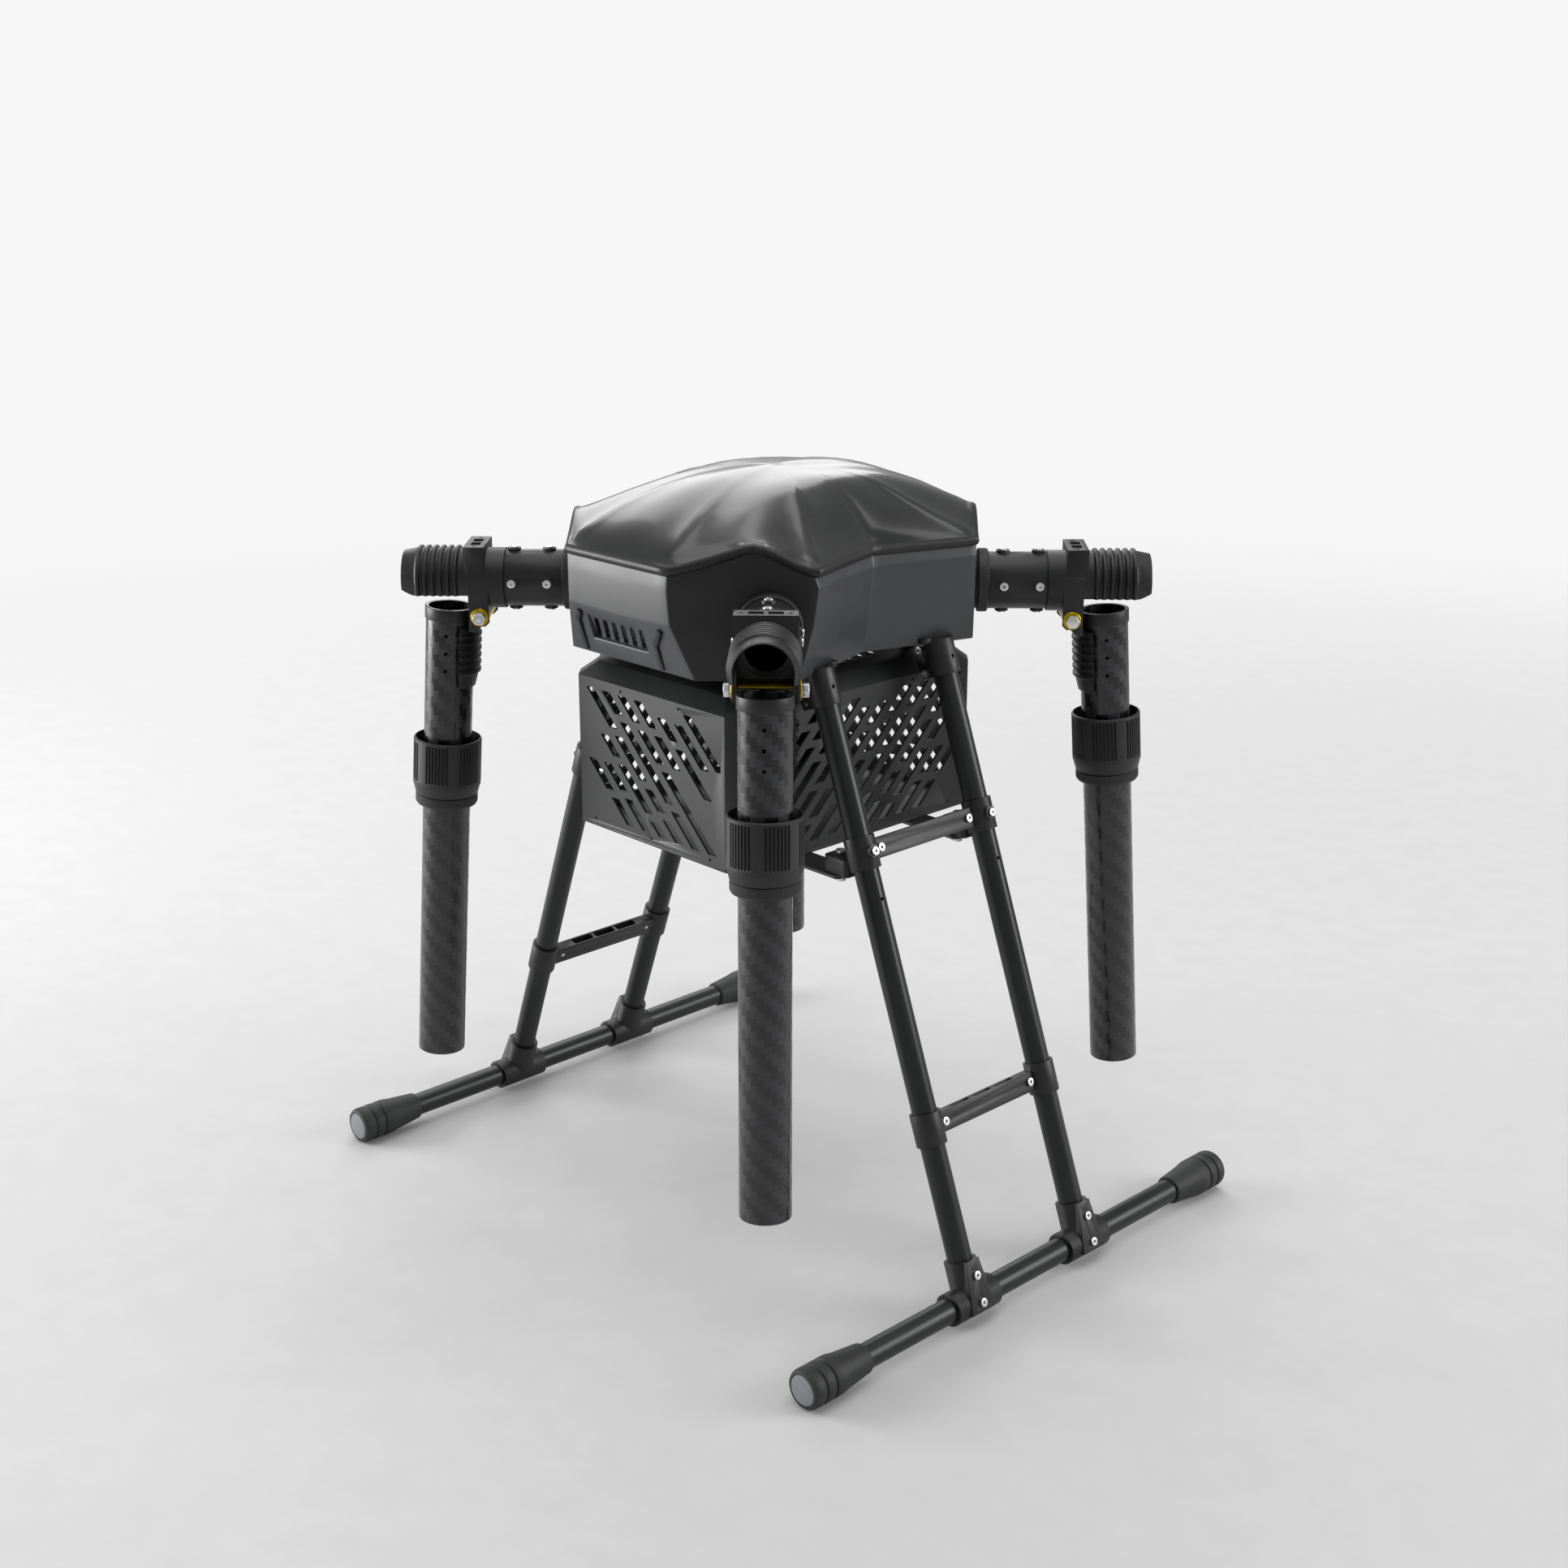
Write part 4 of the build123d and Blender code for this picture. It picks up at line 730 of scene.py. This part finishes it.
@dataclass
class ArmSet:
    """Sleeve, rings and tube finish of each arm."""

    axis: float = 535.0
    fold: float = 86.2
    pin: Tuple[float, float, float] = (242.0, 0.0, 506.7)
    sleeve_radius: float = 28.5
    sleeve_length: float = 48.8
    sleeve_bore: float = 26.9
    straight: float = 40.0
    tail_radius: float = 26.2
    flute_depth: float = 1.3
    flute_groups: int = 6
    flutes_per_group: int = 7
    ring_length: float = 9.0

    def place(self, arm: Arm) -> Matrix:
        """Matrix of an arm's folding pieces."""
        return arm.folded(Vector(self.pin) * MM, self.fold)

    def start_of(self, node: str, place: Matrix) -> float:
        """Where a CAD node begins along its arm, in millimetres."""
        back = place.inverted()
        return min((back @ v.co).x for v in frame["nodes"][node].data.vertices) / MM

    def build(self, paint: Paintbox) -> None:
        """Builds the sleeves and rings of the four arms and dresses the tubes."""
        for arm in Arm:
            place = self.place(arm)
            self.sleeve(arm, place, paint)
            self.slide_ring(arm, place, paint)
            # Lighter twill colour: painted sheen on the tows
            twill = TwillTube(f"carbon_twill_{arm.label}", "carbon_tube", "#0a0a0b", "#2b2c2f", (0.2, 0.42),
                              relief_mm=0.06, coat=0.25, coat_rough=0.14,
                              place=Matrix.Translation((0, 0, -self.axis * MM)) @ place.inverted())
            paint.dress(f"{arm.label}_arm_tube", twill.build())
        self.root_rings(paint)
        self.bushes(paint)

    def bushes(self, paint: Paintbox) -> None:
        """Turns the four flanged brass bushes on the hinge pins as one piece."""
        bm = bmesh.new()
        profile = [(-25.6, 3.2), (-25.6, 7.0), (-25.3, 7.4), (-24.9, 7.4), (-24.9, 4.5), (-20.2, 4.5), (-20.2, 7.0),
                   (20.2, 7.0), (20.2, 4.5), (24.9, 4.5), (24.9, 7.4), (25.3, 7.4), (25.6, 7.0), (25.6, 3.2),
                   (-25.6, 3.2)]
        for arm in Arm:
            one = bmesh.new()
            lathe(one, profile, 48)
            turn = Matrix.Rotation(math.radians(90), 4, "Z")
            place = arm.straight() @ Matrix.Translation(Vector(self.pin) * MM) @ turn
            bmesh.ops.transform(one, matrix=place, verts=one.verts)
            add_part(bm, one, "bush")
        make_piece(bm, "hinge_bushes_flanged", "frame", paint.by_slot["brass"], ["hinge_bushes"], 32)

    def sleeve(self, arm: Arm, place: Matrix, paint: Paintbox) -> None:
        """Turns one locking sleeve and presses its flutes in."""
        node = f"{arm.label}_lock_sleeve"
        start = self.start_of(node, place)
        r, bore = self.sleeve_radius, self.sleeve_bore
        outer = [(0.0, bore), (0.0, r - 1.2), (0.4, r - 0.5), (1.2, r)]
        outer += [(2.6, r), (3.4, r), (19.0, r), (35.0, r), (36.2, r)]
        outer += [(self.straight, r), (self.straight + 1.2, r - 0.5),
                  (self.sleeve_length - 0.6, self.tail_radius + 0.1),
                  (self.sleeve_length, self.tail_radius - 0.5), (self.sleeve_length, 20.6),
                  (self.straight + 1, 20.6), (self.straight, bore), (0.0, bore)]
        bm = bmesh.new()
        sectors = self.flute_groups * (self.flutes_per_group * 4 + 12)
        lathe(bm, outer, sectors)
        per_group = sectors // self.flute_groups
        for vert in bm.verts:
            radius = math.hypot(vert.co.y, vert.co.z) / MM
            if radius < r - 0.1 or not 3.0 < vert.co.x / MM < 35.6:
                continue
            sector = round(math.atan2(vert.co.y, vert.co.z) / (2 * math.pi) * sectors) % per_group
            if sector < self.flutes_per_group * 4 and sector % 4 in (1, 2):
                scale = (r - self.flute_depth) / r
                vert.co.y *= scale
                vert.co.z *= scale
        self.set_down(bm, start, place)
        make_piece(bm, f"{arm.label}_sleeve_fluted", f"{arm.label}_sleeve", paint.by_slot["sleeve_nylon"],
                   [node], 32)

    def slide_ring(self, arm: Arm, place: Matrix, paint: Paintbox) -> None:
        """Turns one slide ring with fine teeth round it."""
        node = f"{arm.label}_slide_ring"
        start = self.start_of(node, place)
        bm = bmesh.new()
        length, r = self.ring_length, self.tail_radius
        lathe(bm, [(0, 20.1), (0, r - 0.9), (0.6, r - 0.2), (1.4, r), (length - 2.4, r), (length - 1.6, r - 0.3),
                   (length, r - 1.3), (length, 20.1), (0, 20.1)], 208)
        self.teeth(bm, r, 0.45, 1.2, length - 2.2, 208)
        self.set_down(bm, start, place)
        make_piece(bm, f"{arm.label}_ring_knurled", f"{arm.label}_ring", paint.by_slot["sleeve_nylon"],
                   [node], 32)

    def teeth(self, bm: bmesh.types.BMesh, radius: float, depth: float, first: float, last: float,
              sectors: int) -> None:
        """Presses every other sector in between two stations of a turned body.

        Args:
            bm: Turned mesh about X.
            radius: Radius that carries the teeth.
            depth: Depth of a tooth space.
            first: Start along X.
            last: End along X.
            sectors: Divisions of the turn.
        """
        for vert in bm.verts:
            if abs(math.hypot(vert.co.y, vert.co.z) / MM - radius) > 0.05 or not first < vert.co.x / MM < last:
                continue
            if round(math.atan2(vert.co.y, vert.co.z) / (2 * math.pi) * sectors) % 2:
                vert.co.y *= 1 - depth / radius
                vert.co.z *= 1 - depth / radius

    def set_down(self, bm: bmesh.types.BMesh, start: float, place: Matrix) -> None:
        """Moves a body turned about X to its station on the arm and into place."""
        bmesh.ops.translate(bm, verts=bm.verts, vec=(start * MM, 0, self.axis * MM))
        bmesh.ops.transform(bm, matrix=place, verts=bm.verts)
        settle(bm)

    def root_rings(self, paint: Paintbox) -> None:
        """Turns the four knurled rings at the arm roots as one piece."""
        bm = bmesh.new()
        for arm in Arm:
            one = bmesh.new()
            lathe(one, [(165.2, 20.4), (165.2, 25.2), (166.0, 26.0), (166.8, 26.0), (172.4, 26.0), (173.2, 25.6),
                        (174.0, 24.6), (174.0, 20.4), (165.2, 20.4)], 176)
            self.teeth(one, 26.0, 0.5, 166.5, 172.6, 176)
            self.set_down(one, 0.0, arm.straight())
            add_part(bm, one, "ring")
        make_piece(bm, "root_rings_knurled", "frame", paint.by_slot["sleeve_nylon"],
                   ["root_rings"], 32)


# ---- Landing gear --------------------------------------------------------------------


@dataclass
class Feet:
    """Grooved rubber boots with grey end plugs on the four skid ends."""

    track: float = 292.0
    level: float = 16.0
    inner: float = 187.7
    boot: Tuple[Tuple[float, float], ...] = (
        (0, 10.2), (0, 11.3), (0.8, 12.0), (2.0, 12.2), (26, 14.7), (30, 15.6), (33, 16.0),
        (39.5, 16.0), (40.2, 15.7), (40.6, 14.8), (42.4, 14.8), (42.8, 15.7), (43.5, 16.0), (49.5, 16.0),
        (50.2, 15.7), (50.6, 14.8), (52.4, 14.8), (52.8, 15.7), (53.5, 16.0), (58.0, 16.0), (60.4, 15.6),
        (62.0, 14.6), (62.6, 13.2), (62.6, 12.4), (58.0, 12.4), (58.0, 10.2), (0, 10.2))

    def build(self, paint: Paintbox) -> None:
        """Builds boots and plugs."""
        plug = ((56.0, 0.0), (56.0, 12.2), (62.0, 12.2), (62.8, 11.6), (63.1, 10.4), (63.1, 0.0))
        self.four(self.boot, "skid_boots", "foot_rubber", "skid_feet", paint)
        self.four(plug, "skid_plugs", "cap_plastic", "foot_caps", paint)

    def four(self, profile: Profile, name: str, slot: str, node: str, paint: Paintbox) -> None:
        """Turns a profile at each skid end as one piece."""
        bm = bmesh.new()
        for side in (1, -1):
            for end in (1, -1):
                one = bmesh.new()
                lathe(one, profile, 72)
                turn = Matrix.Rotation(math.radians(90 * end), 4, "Z")
                spot = Vector((side * self.track, end * self.inner, self.level)) * MM
                bmesh.ops.transform(one, matrix=Matrix.Translation(spot) @ turn, verts=one.verts)
                add_part(bm, one, "foot")
        make_piece(bm, name, "frame", paint.by_slot[slot], [node], 32)


@dataclass
class PlainParts:
    """CAD nodes whose shape is right: some get rounded edges, the rest a finish alone."""

    rounding: Tuple[Tuple[str, float, int], ...] = (
        ("arm_stub", 0.8, 2), ("hinge_yoke", 0.5, 2), ("thread_insert", 0.5, 2))
    frame_rounding: Tuple[Tuple[str, float, int], ...] = (
        ("front_grille", 0.5, 2), ("leg_sockets", 0.8, 2), ("lower_braces", 0.8, 2), ("upper_braces", 0.8, 2),
        ("skid_tees", 0.9, 2), ("bay_corners", 0.5, 2), ("bay_front_panel", 0.35, 1), ("bay_rear_panel", 0.35, 1),
        ("bay_left_panel", 0.35, 1), ("bay_right_panel", 0.35, 1), ("bay_lid", 0.5, 1), ("bay_floor", 0.5, 1),
        ("gear_brackets", 0.4, 1), ("gear_screws", 0.4, 2), ("gear_nuts", 0.4, 2), ("gear_bolts", 0.4, 2),
        ("stub_screws", 0.4, 2), ("hinge_nuts", 0.6, 2), ("hinge_bolts", 0.6, 2))

    def build(self, paint: Paintbox) -> None:
        """Softens the listed nodes and dresses the others."""
        done = set()
        rows = [(f"{arm.label}_{kind}", width, count) for arm in Arm for kind, width, count in self.rounding]
        for node, width, count in rows + list(self.frame_rounding):
            softened(node, width, count, paint)
            done.add(node)
        for node, piece in frame["nodes"].items():
            if node not in done and not node.endswith("arm_tube"):
                paint.dress(node, paint.by_slot[paint.node_slot[node]])


# ---- Studio --------------------------------------------------------------------------


@dataclass(frozen=True)
class Panel:
    """One square soft panel of light.

    Attributes:
        name: Name of the light.
        spot: Its place in metres.
        size: Side of the panel in metres.
        power: Power in watts.
        aim: Point that it faces.
    """

    name: str
    spot: Tuple[float, float, float]
    size: float
    power: float
    aim: Tuple[float, float, float] = (0.0, 0.0, 0.4)

    def hang(self) -> None:
        """Adds the light to the scene."""
        lamp = bpy.data.lights.new(self.name, "AREA")
        lamp.size = self.size
        lamp.energy = self.power
        holder = bpy.data.objects.new(self.name, lamp)
        holder.location = self.spot
        holder.rotation_euler = (Vector(self.aim) - Vector(self.spot)).to_track_quat("-Z", "Y").to_euler()
        bpy.context.scene.collection.objects.link(holder)


@dataclass
class Studio:
    """Pale floor that fades into a pale room, soft panels and the camera."""

    lens: float = 50.0
    eye: Tuple[float, float, float] = (1.27884, -1.20856, 0.92410)
    turn: Tuple[float, float, float] = (72.143, 0.0, 46.397)
    floor_radius: float = 4.2
    fade: Tuple[float, float] = (0.9, 3.2)
    room_seen: float = 0.93
    room_light: float = 0.36
    panels: Tuple[Panel, ...] = (
        Panel("top_panel", (0.0, 0.3, 4.2), 4.0, 84),
        Panel("left_panel", (-2.3, -1.8, 0.75), 1.6, 92),
        Panel("left_back_panel", (-2.4, 1.6, 2.2), 2.4, 44),
        Panel("right_panel", (2.6, 2.1, 1.4), 1.6, 60),
    )

    def build(self) -> None:
        """Sets the floor, the lights, the world and the camera."""
        bpy.context.scene.view_settings.view_transform = "Standard"
        self.floor()
        for panel in self.panels:
            panel.hang()
        self.room()
        camera = bpy.data.cameras.new("camera")
        camera.lens = self.lens
        camera.clip_end = 200
        holder = bpy.data.objects.new("camera", camera)
        holder.location = self.eye
        holder.rotation_euler = Euler([math.radians(a) for a in self.turn])
        bpy.context.scene.collection.objects.link(holder)
        bpy.context.scene.camera = holder

    def floor(self) -> None:
        """Lays a round painted board whose rim fades away into the room."""
        bm = bmesh.new()
        bmesh.ops.create_circle(bm, segments=96, radius=self.floor_radius, cap_ends=True)
        data = bpy.data.meshes.new("floor")
        bm.to_mesh(data)
        bm.free()
        board = bpy.data.objects.new("studio_floor", data)
        bpy.context.scene.collection.objects.link(board)
        # Matt painted board: pale, even, with a trace of mottle
        paint = Finish("matt_painted_board", "floor", "#c6c6c6", "#cbcbcb", (0.85, 0.95), 60.0, 0.01).build()
        tree = paint.node_tree
        place = add_node(tree, "ShaderNodeTexCoord", {}, {})
        reach = add_node(tree, "ShaderNodeVectorMath", {"operation": "LENGTH"}, {0: place.outputs["Object"]})
        alpha = add_node(tree, "ShaderNodeMapRange", {"interpolation_type": "SMOOTHSTEP"}, {
            "Value": reach.outputs["Value"], "From Min": self.fade[0], "From Max": self.fade[1],
            "To Min": 1.0, "To Max": 0.0})
        tree.links.new(alpha.outputs[0], tree.nodes["Principled BSDF"].inputs["Alpha"])
        data.materials.append(paint)

    def room(self) -> None:
        """Makes the room white to look at and dimmer as a light."""
        world = bpy.data.worlds.new("room")
        world.use_nodes = True
        tree = world.node_tree
        seen = tree.nodes["Background"]
        seen.inputs[0].default_value = linear("#ffffff")
        seen.inputs[1].default_value = self.room_seen
        lit = add_node(tree, "ShaderNodeBackground", {}, {0: linear("#ffffff"), 1: self.room_light})
        path = add_node(tree, "ShaderNodeLightPath", {}, {})
        pick = add_node(tree, "ShaderNodeMixShader", {}, {
            0: path.outputs["Is Camera Ray"], 1: lit.outputs[0], 2: seen.outputs[0]})
        tree.links.new(pick.outputs[0], tree.nodes["World Output"].inputs["Surface"])
        bpy.context.scene.world = world


def main() -> None:
    """Builds every class in order."""
    logging.basicConfig(level=logging.INFO)
    paint = Paintbox()
    shape = BodyShape()
    PlainParts().build(paint)
    TopCover(shape).build(paint)
    LowerShell(shape).build(paint)
    ArmSet().build(paint)
    Feet().build(paint)
    Studio().build()


if __name__ == "__main__":
    main()
